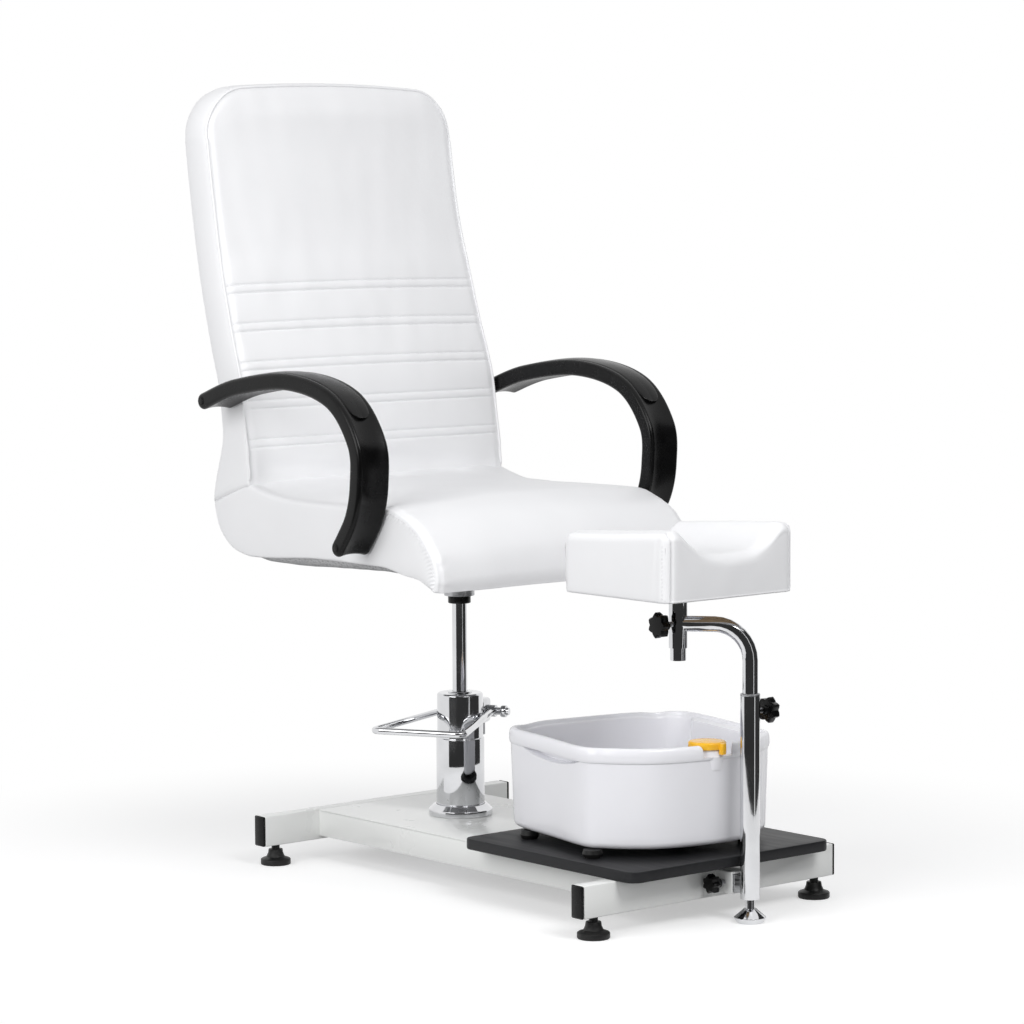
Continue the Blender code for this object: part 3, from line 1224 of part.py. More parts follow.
def build_pad(root):
    axis = make_empty("pad_axis", root, (POST_X, POST_Y, 0))
    flange_top = SLEEVE_TOP + SEAT_GAP + POST_FLANGE
    flange_bottom = SLEEVE_TOP + SEAT_GAP
    bore = NECK_RADIUS - NECK_WALL
    post = [(0, flange_top), (POST_FLANGE_RADIUS, flange_top), (POST_FLANGE_RADIUS, flange_bottom),
            (NECK_RADIUS, flange_bottom), (NECK_RADIUS, POST_BOTTOM), (bore, POST_BOTTOM), (bore, flange_bottom),
            (0, flange_bottom)]
    add_turned("pad_post", post, CHROME, axis, steps=SMALL_STEPS)
    outline = rounded_rectangle(PAD_WIDTH - 2 * PAD_BOARD_INSET, PAD_DEPTH - 2 * PAD_BOARD_INSET,
                                PAD_CORNER - PAD_BOARD_INSET, 3)
    add_part("pad_board", plate_mesh("pad_board", outline, PAD_BOARD_THICKNESS), PLYWOOD, axis,
             (0, 0, PAD_BOARD_BOTTOM))
    add_part("pad_cushion", loft_mesh("pad_cushion", pad_rings()), WHITE_VINYL, axis)


PAD_STATIONS = 14


def pad_rings():
    """Rings across the pad: a valley for the calf between two wings that rise towards the front."""
    depths = [-0.5, -0.44, -0.30, -0.12, 0.06, 0.24, 0.40, 0.5]
    rings = []
    for k in range(PAD_STATIONS + 1):
        across = -math.cos(k / PAD_STATIONS * math.pi)
        share = min(1.0, (1 - abs(across)) * PAD_WIDTH / 2 / PAD_CORNER)
        corner = PAD_CORNER * (1 - math.sqrt(share * (2 - share)))
        hollow = 0.5 + 0.5 * math.cos(min(abs(across) / 0.93, 1.0) ** 1.9 * math.pi)
        top = []
        for place in depths:
            y = place * (PAD_DEPTH - 2 * corner)
            edge = ease((0.5 - abs(place)) / 0.10)
            level = PAD_TOP - PAD_FRONT_RISE * (0.5 + place) - PAD_VALLEY * hollow
            top.append((y, level - 0.010 * (1 - edge) - 0.008 * (1 - share)))
        waist = PAD_DEPTH / 2 - corner - PAD_DRAW_IN
        half = PAD_DEPTH / 2 - corner
        front_middle = (PAD_BOTTOM + top[0][1]) / 2
        rear_middle = (PAD_BOTTOM + top[-1][1]) / 2
        sides = [(waist, rear_middle), (half, PAD_BOTTOM), (-half, PAD_BOTTOM), (-waist, front_middle)]
        rings.append([(across * PAD_WIDTH / 2, y, z) for y, z in top + sides])
    return rings


def knob_rings(radius):
    """Rings of a star knob on +X: a round boss, then the lobed head with eased edges."""
    count = KNOB_LOBES * 4
    angles = [2 * math.pi * k / count for k in range(count)]
    lobed = [radius - KNOB_LOBE_DEPTH * (0.5 - 0.5 * math.cos(KNOB_LOBES * a)) for a in angles]
    head_end = KNOB_BOSS + KNOB_THICKNESS
    layers = [(0.0, 0.0), (KNOB_BOSS, 0.0), (KNOB_BOSS, 0.9), (KNOB_BOSS + 0.002, 1.0), (head_end - 0.003, 1.0),
              (head_end, 0.86)]
    rings = []
    for x, share in layers:
        radii = [r * share if share else KNOB_BOSS_RADIUS for r in lobed]
        rings.append([(x, r * math.cos(a), r * math.sin(a)) for r, a in zip(radii, angles)])
    return rings


def build_knob(root, name, axis_place, hand, wall_radius, tip_radius, radius):
    """Star knob with a moulded-in clamp screw, pointing along +X or -X from the tube that it clamps."""
    axis = make_empty(name + "_axis", root, axis_place, 0.0 if hand > 0 else math.pi)
    start = wall_radius + KNOB_STANDOFF - KNOB_BOSS
    knob = add_part(name, loft_mesh(name, knob_rings(radius)), BLACK_PLASTIC, axis, (start, 0, 0))
    screw = cylinder_mesh(name + "_screw", SCREW_RADIUS, (tip_radius + SEAT_GAP, 0, 0), (start + SCREW_IN_KNOB, 0, 0),
                          12)
    boolean(knob, add_cutter(name + "_screw", screw, axis), 'UNION')


def build_footrest(root):
    build_column(root)
    build_gooseneck(root)
    build_pad(root)
    build_knob(root, "column_knob", (COLUMN_X, COLUMN_Y, COLUMN_KNOB_HEIGHT), 1, COLUMN_RADIUS, NECK_RADIUS,
               KNOB_RADIUS)
    build_knob(root, "sleeve_knob", (POST_X, POST_Y, NECK_LEVEL), -1, SLEEVE_RADIUS, NECK_RADIUS, KNOB_RADIUS)
    build_knob(root, "slide_knob", (COLUMN_X, SOCKET_Y, BAR_MIDDLE), -1, SOCKET_SIZE / 2, BAR_SIZE / 2,
               BAR_KNOB_RADIUS)


# Foot bath
TUB_PER_SPAN = 2


def tub_outline(grow):
    """Plan of the bath grown outwards by an amount, as X and Y points."""
    left = [(-x, y) for x, y in reversed(TUB_LINE[1:-1])]
    path = smooth_path(TUB_LINE + left, TUB_PER_SPAN, closed=True)
    normals = path_normals(path, closed=True)
    return [point + normal * grow for point, normal in zip(path, normals)]


def tub_ring(grow, level):
    ring = []
    for point in tub_outline(grow):
        rise = TUB_REAR_RISE * ease((point.y - TUB_LINE[TUB_CREASE][1]) / 0.15)
        share = ease((level - TUB_RIM + 0.04) / 0.04)
        ring.append((point.x, point.y, level + rise * share))
    return ring


def build_tub(root):
    bath = make_empty("bath_axis", root, (TUB_X, TUB_Y, 0), TUB_YAW)
    lip_bottom = TUB_RIM - TUB_LIP_HEIGHT
    floor = TUB_BOTTOM + TUB_WALL
    inside = -TUB_WALL - TUB_LIP
    rings = [tub_ring(-TUB_DRAFT - TUB_LIP - TUB_ROUND, TUB_BOTTOM),
             tub_ring(-TUB_DRAFT - TUB_LIP - TUB_ROUND * 0.3, TUB_BOTTOM + TUB_ROUND * 0.3),
             tub_ring(-TUB_DRAFT - TUB_LIP, TUB_BOTTOM + TUB_ROUND),
             tub_ring(-TUB_LIP, lip_bottom - 0.002), tub_ring(-0.0005, lip_bottom + 0.002),
             tub_ring(0.0, TUB_RIM - 0.004), tub_ring(-0.003, TUB_RIM), tub_ring(inside, TUB_RIM - 0.001),
             tub_ring(inside - 0.001, TUB_RIM - 0.010),
             tub_ring(inside - TUB_DRAFT, TUB_BOTTOM + TUB_ROUND + TUB_WALL),
             tub_ring(inside - TUB_DRAFT - TUB_ROUND, floor)]
    tub = add_part("bath_tub", loft_mesh("bath_tub", rings), WHITE_PLASTIC, bath)
    notch = cylinder_mesh("dial_notch", DIAL_NOTCH_RADIUS, (DIAL_X, DIAL_Y, DIAL_NOTCH_LEVEL),
                          (DIAL_X, DIAL_Y, TUB_RIM + 0.05))
    boolean(tub, add_cutter("dial_notch", notch, bath))
    top = DIAL_LEVEL - SEAT_GAP
    console = cylinder_mesh("dial_console", DIAL_CONSOLE_RADIUS, (DIAL_X, DIAL_Y, top - DIAL_CONSOLE_DEPTH),
                            (DIAL_X, DIAL_Y, top))
    boolean(tub, add_cutter("dial_console", console, bath), 'UNION')
    for end, y in TUB_FEET_ALONG.items():
        for hand, x in TUB_FEET_ACROSS.items():
            build_tub_foot(bath, f"tub_foot_{end}_{hand}", x, y)
    build_dial(bath)


def build_tub_foot(bath, name, x, y):
    top = TUB_BOTTOM - SEAT_GAP
    bottom = BOARD_TOP + SEAT_GAP
    profile = [(0, top), (TUB_FOOT_RADIUS * 0.9, top), (TUB_FOOT_RADIUS, (top + bottom) / 2),
               (TUB_FOOT_RADIUS * 0.8, bottom), (0, bottom)]
    add_turned(name, profile, BLACK_RUBBER, bath, (x, y, 0), 16)


def build_dial(bath):
    axis = make_empty("dial_axis", bath, (DIAL_X, DIAL_Y, DIAL_LEVEL), DIAL_TAB_YAW)
    disc = [(0, DIAL_THICKNESS), (DIAL_RADIUS - 0.002, DIAL_THICKNESS), (DIAL_RADIUS, DIAL_THICKNESS - 0.002),
            (DIAL_RADIUS, 0), (0, 0)]
    dial = add_turned("control_dial", disc, ORANGE_PLASTIC, axis, steps=SMALL_STEPS)
    inner = DIAL_CONSOLE_RADIUS + 0.0012
    size = (DIAL_TAB_REACH - inner, DIAL_TAB_WIDTH, DIAL_THICKNESS - 0.001 + DIAL_TAB_DROP)
    centre = ((DIAL_TAB_REACH + inner) / 2, 0, (DIAL_THICKNESS - 0.001 - DIAL_TAB_DROP) / 2)
    boolean(dial, add_cutter("dial_tab", box_mesh("dial_tab", size, centre), axis), 'UNION')


ROOT = build_root()
build_base(ROOT)
build_pump(ROOT)
build_pedal(ROOT)
build_seat(ROOT)
build_footrest(ROOT)
build_tub(ROOT)
bpy.context.view_layer.update()
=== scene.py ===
"""Dressed scene of the hydraulic pedicure chair: padding, moulded arms and bath, finishes, light and camera.

Metres, +Z up, the sitter faces -Y. Shapes are laid out with the middle of the base at Y = 0, as the solids
are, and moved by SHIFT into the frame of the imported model.
"""
import json
import math

import bmesh
import bpy
import numpy as np
from mathutils import Matrix, Vector, noise

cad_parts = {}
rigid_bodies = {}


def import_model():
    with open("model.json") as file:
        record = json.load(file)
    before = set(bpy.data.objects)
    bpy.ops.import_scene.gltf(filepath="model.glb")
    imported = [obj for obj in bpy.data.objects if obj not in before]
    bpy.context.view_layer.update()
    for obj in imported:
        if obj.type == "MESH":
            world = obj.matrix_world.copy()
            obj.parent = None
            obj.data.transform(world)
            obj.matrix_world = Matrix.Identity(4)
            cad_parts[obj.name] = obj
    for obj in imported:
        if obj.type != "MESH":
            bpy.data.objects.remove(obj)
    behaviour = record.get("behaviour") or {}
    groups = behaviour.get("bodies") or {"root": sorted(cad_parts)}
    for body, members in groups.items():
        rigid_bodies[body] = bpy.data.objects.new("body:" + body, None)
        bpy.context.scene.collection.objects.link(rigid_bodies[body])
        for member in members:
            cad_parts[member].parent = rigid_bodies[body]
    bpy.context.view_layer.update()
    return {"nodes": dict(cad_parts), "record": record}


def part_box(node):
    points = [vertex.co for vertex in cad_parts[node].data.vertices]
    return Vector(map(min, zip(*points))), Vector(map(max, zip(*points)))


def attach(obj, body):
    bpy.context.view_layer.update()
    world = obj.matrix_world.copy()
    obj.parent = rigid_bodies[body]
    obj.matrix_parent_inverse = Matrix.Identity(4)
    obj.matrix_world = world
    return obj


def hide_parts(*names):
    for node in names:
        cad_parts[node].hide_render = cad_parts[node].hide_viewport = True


for thing in list(bpy.data.objects):
    bpy.data.objects.remove(thing)
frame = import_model()
NODES = frame["nodes"]
SHIFT = (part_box("front_crossbar")[0].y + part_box("rear_crossbar")[1].y) / 2

# Photograph's camera
PHOTO_WIDTH = 1024
FOCAL_PIXELS = 3613.1
SENSOR_WIDTH = 36.0
CAMERA_PLACE = (-3.5965, -4.1813, 1.0746)
CAMERA_AZIMUTH = math.radians(-40.315)
CAMERA_PITCH = math.radians(5.207)
CAMERA_ROLL = math.radians(-0.288)
CAMERA_CLIP = 100

# Padded back
SEAT_HALF_WIDTH = 0.260
BACK_TAPER = 0.010
BACK_TAPER_START = 0.700
BACK_TAPER_LENGTH = 0.450
BACK_TOP = 1.236
BACK_TOP_CROWN = 0.011
BACK_CORNER = 0.075
BACK_THICKNESS = 0.067
BACK_FOOT_EXTRA = 0.031
BACK_FOOT_LEVEL = 0.600
BACK_FOOT_FADE = 0.100
BACK_CROWN = 0.012
BACK_STRETCH_FROM = 0.950
BACK_FRONT_EDGE = 0.005
BACK_REAR_EDGE = 0.014
# Height and Y of the front face of the back
BACK_LINE = [(0.560, 0.380), (0.640, 0.389), (0.710, 0.399), (0.770, 0.409), (0.840, 0.432), (0.920, 0.4565),
             (1.000, 0.4775), (1.080, 0.4935), (1.160, 0.5045), (1.250, 0.5095)]
CREASE = (0.386, 0.610)
HEEL = (0.484, 0.571)
CHANNEL_TOP = 0.909
CHANNEL_STEP = 0.060
CHANNEL_COUNT = 5
CHANNEL_PAIR = 0.013
JOINT_EDGE = 0.0012

# Padded seat
SEAT_CROWN = 0.014
SEAT_TOP_EDGE = 0.014
SEAT_BOTTOM_EDGE = 0.005
SEAT_SEAM_FROM = 0.085
SEAT_SEAM_EDGE = 0.005
SEAT_ROLL_FROM = 0.60
FRONT_LIP_BOTTOM = 0.473
# Y and height of the top of the seat, from the crease to the front lip
SEAT_LINE = [CREASE, (0.350, 0.602), (0.300, 0.595), (0.200, 0.592), (0.050, 0.593), (0.002, 0.583),
             (-0.037, 0.563), (-0.069, 0.528), (-0.081, 0.494), (-0.078, 0.473)]
# Y and height of the lower outline of the seat, from the heel to the front lip
SKIRT_LINE = [HEEL, (0.471, 0.533), (0.441, 0.505), (0.400, 0.493), (0.352, 0.492), (0.200, 0.492),
              (0.050, 0.492), (-0.020, 0.490), (-0.050, 0.481), (-0.066, 0.473)]
SKIRT_LIFT = 0.009

# Arms
ARM_INNER = 0.263
ARM_WIDTH = 0.060
ARM_THICKNESS = 0.026
# Y and height of the middle of the arm, from the back mount to the seat mount
ARM_LINE = [(0.425, 0.7375), (0.340, 0.7625), (0.210, 0.7755), (0.102, 0.7515), (0.0455, 0.690),
            (0.040, 0.630), (0.0525, 0.578), (0.0845, 0.5315)]

# Calf pad
PAD_WIDTH = 0.255
PAD_DEPTH = 0.230
PAD_TOP = 0.590
PAD_VALLEY = 0.041
PAD_FRONT_RISE = 0.015
PAD_ROUND = 0.019
PAD_SIDE_EDGE = 0.013
PAD_FRONT_EDGE = 0.005
PAD_BOTTOM_EDGE = 0.004
PAD_SEAM_INSET = 0.0040
PAD_HEM = 0.030
PAD_CORNER = 0.022

# Foot bath
TUB_YAW = math.radians(-10.6)
TUB_PLACE = (0.012, -0.2405)
TUB_BOTTOM = 0.1088
TUB_RIM = 0.258
TUB_REAR_RISE = 0.0015
TUB_LIP = 0.0020
TUB_LIP_HEIGHT = 0.022
TUB_DRAFT = 0.004
TUB_WALL = 0.0035
TUB_ROUND = 0.010
# X and Y of half the bath's rim from its middle, from the front to the rear
TUB_LINE = [(0.0, -0.160), (0.042, -0.158), (0.078, -0.1495), (0.108, -0.133), (0.139, -0.1075),
            (0.1630, -0.0725), (0.1640, 0.028), (0.1630, 0.120), (0.147, 0.156), (0.110, 0.174), (0.0, 0.179)]
TUB_SIDE_FRONT = TUB_LINE[5][1]
DIAL_PLACE = (0.0185, -0.133)
DIAL_LEVEL = 0.2503

# Dust cover
DUST_HALF_WIDTH = 0.2535
DUST_FRONT = -0.041
DUST_REAR = 0.3750
DUST_LEVEL = 0.4915
DUST_SAG = 0.008
DUST_REAR_DROP = 0.007
DUST_HOLE = 0.035
PUMP_Y = 0.1865

# Wrinkles of the soft pieces: stretch along each axis, scale, seed and height
BACK_TUG = ((1, 1, 0.45), 26.0, 3.1, 0.0010)
BACK_PUCKER = ((1, 1, 0.25), 95.0, 8.7, 0.0006)
BACK_FOLDS = ((0.55, 1, 2.2), 24.0, 5.5, 0.0035)
BACK_REAR_TUG = ((1, 1, 0.5), 15.0, 1.7, 0.0012)
SEAT_TUG = ((0.7, 0.7, 0.7), 16.0, 4.2, 0.0013)
SEAT_GATHERS = ((0.3, 1, 1), 110.0, 7.7, 0.0011)
SEAT_FOLDS = ((1.5, 0.5, 1), 20.0, 9.4, 0.0040)
PAD_TUG = ((1, 1, 0.6), 30.0, 2.2, 0.0009)
DUST_RIPPLE = ((1, 1, 1), 34.0, 6.1, 0.0012)

# Puckers of the side panels beside a seam
PUCKER_PITCH = 0.0068
PUCKER_HEIGHT = 0.0011
PUCKER_PLACE = 0.005
PUCKER_WIDTH = 0.0045
PUCKER_DRIFT = 1.5
PUCKER_DRIFT_RATE = 40

# Stitches: pitch, length and radius of the thread
BACK_STITCH = (0.0048, 0.0034, 0.00055)
SEAT_STITCH = (PUCKER_PITCH, 0.0042, 0.0006)
PAD_STITCH = (0.0052, 0.0036, 0.0006)


# Numbers and curves
SPAN_STEPS = 24
SIDE_CROWDING = 0.36


def ease(value):
    value = np.clip(value, 0.0, 1.0)
    return value * value * (3 - 2 * value)


def bell(value, width):
    return np.exp(-(value / width) ** 2)


def unit(vectors):
    return vectors / np.maximum(np.linalg.norm(vectors, axis=-1, keepdims=True), 1e-9)


def smooth_line(points, count, closed=False):
    """Evenly spaced points on a smooth curve through a few points."""
    points = np.array(points, float)
    total = len(points)
    t = np.linspace(0, 1, SPAN_STEPS, endpoint=False)[:, None]
    pieces = []
    for k in range(total if closed else total - 1):
        picks = [(k + j) % total if closed else min(max(k + j, 0), total - 1) for j in (-1, 0, 1, 2)]
        a, b, c, d = points[picks]
        pieces.append(b + (c - a) * (t / 2) + (2 * a - 5 * b + 4 * c - d) * (t * t / 2)
                      + (3 * b - a - 3 * c + d) * (t ** 3 / 2))
    pieces.append(points[:1] if closed else points[-1:])
    dense = np.concatenate(pieces)
    return resample(dense, count + 1)[:-1] if closed else resample(dense, count)


def resample(path, count):
    """Points spaced evenly along a path of any dimension."""
    steps = np.linalg.norm(np.diff(path, axis=0), axis=1)
    along = np.concatenate([[0], np.cumsum(steps)])
    places = np.linspace(0, along[-1], count)
    return np.stack([np.interp(places, along, path[:, k]) for k in range(path.shape[1])], 1)


def across_columns(count):
    """Places from -1 to 1, closer together near the sides."""
    plain = np.linspace(-1, 1, count)
    return plain * (1 + SIDE_CROWDING * (1 - plain ** 2))


def circle(sides):
    """Corners of a regular polygon on a circle of radius 1."""
    turn = np.linspace(0, 2 * math.pi, sides, endpoint=False)
    return np.stack([np.cos(turn), np.sin(turn)], 1)


def wrinkles(points, stretch, scale, seed, height):
    """Smooth noise at each point of an array, up to about the height either way."""
    flat = (points * np.array(stretch)).reshape(-1, 3) * scale + seed
    values = [noise.noise(Vector(p)) for p in flat]
    return np.array(values).reshape(points.shape[:-1]) * height


# Meshes
def add_object(name, data):
    obj = bpy.data.objects.new(name, data)
    bpy.context.scene.collection.objects.link(obj)
    return obj


def mesh_object(name, points, faces):
    """A smooth object from points in the layout frame and faces, with outward normals."""
    mesh = bpy.data.meshes.new(name)
    moved = np.asarray(points, float) + np.array([0, SHIFT, 0])
    mesh.from_pydata([tuple(p) for p in moved], [], faces)
    bm = bmesh.new()
    bm.from_mesh(mesh)
    bmesh.ops.recalc_face_normals(bm, faces=bm.faces)
    bm.to_mesh(mesh)
    bm.free()
    mesh.polygons.foreach_set("use_smooth", [True] * len(mesh.polygons))
    return add_object(name, mesh)


def grid_faces(rows, columns, first=0, wrap=False):
    faces = []
    for i in range(rows - 1):
        for j in range(columns if wrap else columns - 1):
            after = (j + 1) % columns
            faces.append((first + i * columns + j, first + i * columns + after,
                          first + (i + 1) * columns + after, first + (i + 1) * columns + j))
    return faces


def tubes_object(name, tubes):
    """One object of closed tubes, each a row of rings of points."""
    points = []
    faces = []
    first = 0
    for rings in tubes:
        sides = len(rings[0])
        last = first + (len(rings) - 1) * sides
        faces += grid_faces(len(rings), sides, first, wrap=True)
        faces += [tuple(range(end, end + sides)) for end in (first, last)]
        points += rings
        first = last + sides
    return mesh_object(name, np.concatenate(points), faces)


def boundary(rows, columns):
    """Row and column of each point round the edge of a grid, once round."""
    loop = [(0, j) for j in range(columns)]
    loop += [(i, columns - 1) for i in range(1, rows)]
    loop += [(rows - 1, j) for j in range(columns - 2, -1, -1)]
    loop += [(i, 0) for i in range(rows - 2, 0, -1)]
    return np.array(loop)


# Side panels of the cushions: steps round an edge, places down the side, swell and largest share of an edge
ARC_STEPS = 5
SIDE_SHARES = (0.03, 0.06, 0.10, 0.15, 0.22, 0.32, 0.45, 0.60, 0.75, 0.90)
SWELL_POWER = 0.7
EDGE_MOST = 0.4


def boxed_cushion(name, top, bottom, top_edge, bottom_edge, bulge, pucker=0.0, warp=None, plain_rows=()):
    """A closed cushion: a top and a bottom panel of the same grid, joined by a swelling side panel all round.

    The panels end short of the side by the radius of their rounded edges. Edge radii, bulge and the strength
    of the puckers beside the top seam are given for the whole edge or for each of its points. At the plain
    rows the side panels run straight on to the end.
    """
    rows, columns = top.shape[:2]
    loop = boundary(rows, columns)
    count = len(loop)
    ring = loop[:, 0] * columns + loop[:, 1]
    upper = top.reshape(-1, 3)[ring]
    lower = bottom.reshape(-1, 3)[ring]
    top_edge, bottom_edge, bulge, pucker = (np.broadcast_to(value, count).astype(float)
                                            for value in (top_edge, bottom_edge, bulge, pucker))
    along = unit(np.roll(upper, -1, 0) - np.roll(upper, 1, 0))
    outward = unit(np.cross(along, lower - upper))
    middle = (upper.mean(0) + lower.mean(0)) / 2
    if np.sum((upper - middle) * outward) < 0:
        outward = -outward
    for row in plain_rows:
        inner = row + 1 if row == 0 else row - 1
        for column in (0, columns - 1):
            outward[ring == row * columns + column] = outward[ring == inner * columns + column]
    drop = lower - upper - outward * (top_edge - bottom_edge)[:, None]
    length = np.linalg.norm(drop, axis=1)
    down = unit(drop)
    top_round = np.minimum(top_edge, EDGE_MOST * length)
    bottom_round = np.minimum(bottom_edge, EDGE_MOST * length)
    straight = length - top_round - bottom_round
    reach = np.concatenate([[0], np.cumsum(np.linalg.norm(np.diff(upper, axis=0), axis=1))])
    drift = PUCKER_DRIFT * np.sin(reach * PUCKER_DRIFT_RATE)
    gather = np.cos(reach * 2 * math.pi / PUCKER_PITCH + drift) * pucker
    turns = np.linspace(0, math.pi / 2, ARC_STEPS + 1)
    profile = [(np.sin(a) * top_round, (1 - np.cos(a)) * top_round) for a in turns[1:]]
    for share in SIDE_SHARES:
        swell = bulge * math.sin(share * math.pi) ** SWELL_POWER
        fold = PUCKER_HEIGHT * gather * bell(straight * share - PUCKER_PLACE, PUCKER_WIDTH)
        profile.append((top_round + swell + fold, top_round + straight * share))
    for a in turns[:-1]:
        profile.append((top_round - (1 - np.cos(a)) * bottom_round,
                        length - bottom_round + np.sin(a) * bottom_round))
    sides = [upper + outward * out[:, None] + down * depth[:, None] for out, depth in profile]
    points = np.concatenate([top.reshape(-1, 3), bottom.reshape(-1, 3), *sides])
    if warp is not None:
        points = warp(points)
    size = rows * columns
    faces = grid_faces(rows, columns) + grid_faces(rows, columns, size)
    rings = [ring, *(2 * size + np.arange(len(profile) * count).reshape(-1, count)), ring + size]
    for one, two in zip(rings, rings[1:]):
        for k in range(count):
            after = (k + 1) % count
            faces.append((int(one[k]), int(one[after]), int(two[after]), int(two[k])))
    return mesh_object(name, points, faces), outward


# Cord: corners of its section, size of its last two rings and a direction off its path
CORD_SIDES = 10
CORD_ENDS = (0.45, 0.85)
CORD_ASIDE = (0.31, 0.17, 0.93)


def swept_cord(name, path, radius):
    """A round cord along a path, with rounded ends."""
    along = unit(np.gradient(path, axis=0))
    side = unit(np.cross(along[0], CORD_ASIDE))
    rings = []
    for k, point in enumerate(path):
        side = unit(side - along[k] * np.dot(side, along[k]))
        from_end = min(k, len(path) - 1 - k)
        size = radius if from_end > 1 else radius * CORD_ENDS[from_end]
        rings.append(point + size * (circle(CORD_SIDES) @ np.stack([side, np.cross(along[k], side)])))
    return tubes_object(name, [rings])


# Stitches: place along and thickness of each ring, corners, flatness and rise of the middle
STITCH_RINGS = [(-0.5, 0.25), (-0.34, 0.9), (0.0, 1.0), (0.34, 0.9), (0.5, 0.25)]
STITCH_SIDES = 6
STITCH_FLAT = 0.8
STITCH_RISE = 0.35
# Weight of the normals when they are spaced out together with their line
NORMAL_WEIGHT = 1e-4


def stitched_row(name, body, lines, pitch, length, radius):
    """Thread stitches along lines of points with their normals, as one object of many short spindles."""
    spindles = []
    for line, normals in lines:
        reach = np.linalg.norm(np.diff(line, axis=0), axis=1).sum()
        both = resample(np.concatenate([line, normals * NORMAL_WEIGHT], 1), max(2, int(reach / pitch)))
        places = both[:, :3]
        tops = unit(both[:, 3:])
        along = unit(np.gradient(places, axis=0))
        sides = unit(np.cross(along, tops))
        for place, top, ahead, side in zip(places, tops, along, sides):
            section = circle(STITCH_SIDES) @ np.stack([side, STITCH_FLAT * top])
            rings = []
            for share, size in STITCH_RINGS:
                lift = radius * STITCH_RISE * (1 - (2 * share) ** 2)
                rings.append(place + ahead * share * length + top * lift + radius * size * section)
            spindles.append(rings)
    dress(tubes_object(name, spindles), body, "white_leatherette", LOOKS["white_thread"])


# Materials
NOISE_LOW = 0.3
NOISE_HIGH = 0.7


def add_node(tree, kind, inputs=None, **settings):
    """A new node with its settings, and with constants or the outputs of other nodes on its inputs."""
    node = tree.nodes.new(kind)
    for setting, value in settings.items():
        setattr(node, setting, value)
    for socket, value in (inputs or {}).items():
        if isinstance(value, bpy.types.NodeSocket):
            tree.links.new(value, node.inputs[socket])
        else:
            node.inputs[socket].default_value = value
    return node


class Look:
    """A material that starts as a plain shader and gets its textures and constants one by one."""

    def __init__(self, name):
        self.material = bpy.data.materials.new(name)
        self.material.use_nodes = True
        self.tree = self.material.node_tree
        self.shader = self.tree.nodes["Principled BSDF"]
        self.place = add_node(self.tree, "ShaderNodeTexCoord").outputs["Object"]
        self.normal = None

    def noise(self, scale, detail, stretch=(1, 1, 1), roughness=0.5):
        mapping = add_node(self.tree, "ShaderNodeMapping", {"Vector": self.place, "Scale": stretch})
        inputs = {"Vector": mapping.outputs["Vector"], "Scale": scale, "Detail": detail,
                  "Roughness": roughness}
        return add_node(self.tree, "ShaderNodeTexNoise", inputs).outputs["Fac"]

    def cells(self, scale, feature="F1"):
        inputs = {"Vector": self.place, "Scale": scale}
        return add_node(self.tree, "ShaderNodeTexVoronoi", inputs, feature=feature).outputs["Distance"]

    def colour(self, factor, dark, pale, low=NOISE_LOW, high=NOISE_HIGH):
        ramp = add_node(self.tree, "ShaderNodeValToRGB", {"Fac": factor})
        for element, position, colour in zip(ramp.color_ramp.elements, (low, high), (dark, pale)):
            element.position = position
            element.color = (*colour, 1)
        self.tree.links.new(ramp.outputs["Color"], self.shader.inputs["Base Color"])

    def roughness(self, factor, low, high):
        inputs = {"Value": factor, "From Min": NOISE_LOW, "From Max": NOISE_HIGH,
                  "To Min": low, "To Max": high}
        spread = add_node(self.tree, "ShaderNodeMapRange", inputs)
        self.tree.links.new(spread.outputs["Result"], self.shader.inputs["Roughness"])

    def bump(self, height, strength, distance):
        """Fine relief, over any that is there already."""
        inputs = {"Height": height, "Strength": strength, "Distance": distance}
        if self.normal is not None:
            inputs["Normal"] = self.normal
        self.normal = add_node(self.tree, "ShaderNodeBump", inputs).outputs["Normal"]
        self.tree.links.new(self.normal, self.shader.inputs["Normal"])

    def set(self, socket, value):
        self.shader.inputs[socket].default_value = value


def shade(colour, factor):
    return tuple(min(1.0, channel * factor) for channel in colour)


def white_leatherette(look):
    """White coated fabric: fine pebbled grain, a faint sheen and slight unevenness."""
    white = (0.87, 0.872, 0.885)
    look.colour(look.noise(9.0, 3), shade(white, 0.985), shade(white, 1.01))
    look.roughness(look.noise(32.0, 2), 0.40, 0.50)
    look.set("Specular IOR Level", 0.42)
    look.set("Sheen Weight", 0.04)
    look.bump(look.cells(1150.0, "SMOOTH_F1"), 0.10, 0.0004)
    look.bump(look.noise(420.0, 3), 0.10, 0.0005)


def white_thread(look):
    white = (0.84, 0.84, 0.855)
    twist = look.noise(1500.0, 1)
    look.colour(twist, shade(white, 0.93), white, 0.35, 0.65)
    look.set("Roughness", 0.6)
    look.bump(twist, 0.3, 0.0002)


def chrome(look):
    """Bright plating with faint smears that change its gloss."""
    smear = look.noise(26.0, 4)
    look.colour(smear, (0.64, 0.645, 0.66), (0.72, 0.725, 0.74))
    look.set("Metallic", 1.0)
    look.roughness(smear, 0.035, 0.09)
    look.bump(look.noise(55.0, 1), 0.03, 0.0006)


def bare_steel(look):
    brush = look.noise(60.0, 4, (1, 1, 14))
    look.colour(brush, (0.36, 0.365, 0.38), (0.52, 0.525, 0.54))
    look.set("Metallic", 1.0)
    look.roughness(brush, 0.25, 0.42)
    look.bump(brush, 0.08, 0.0004)


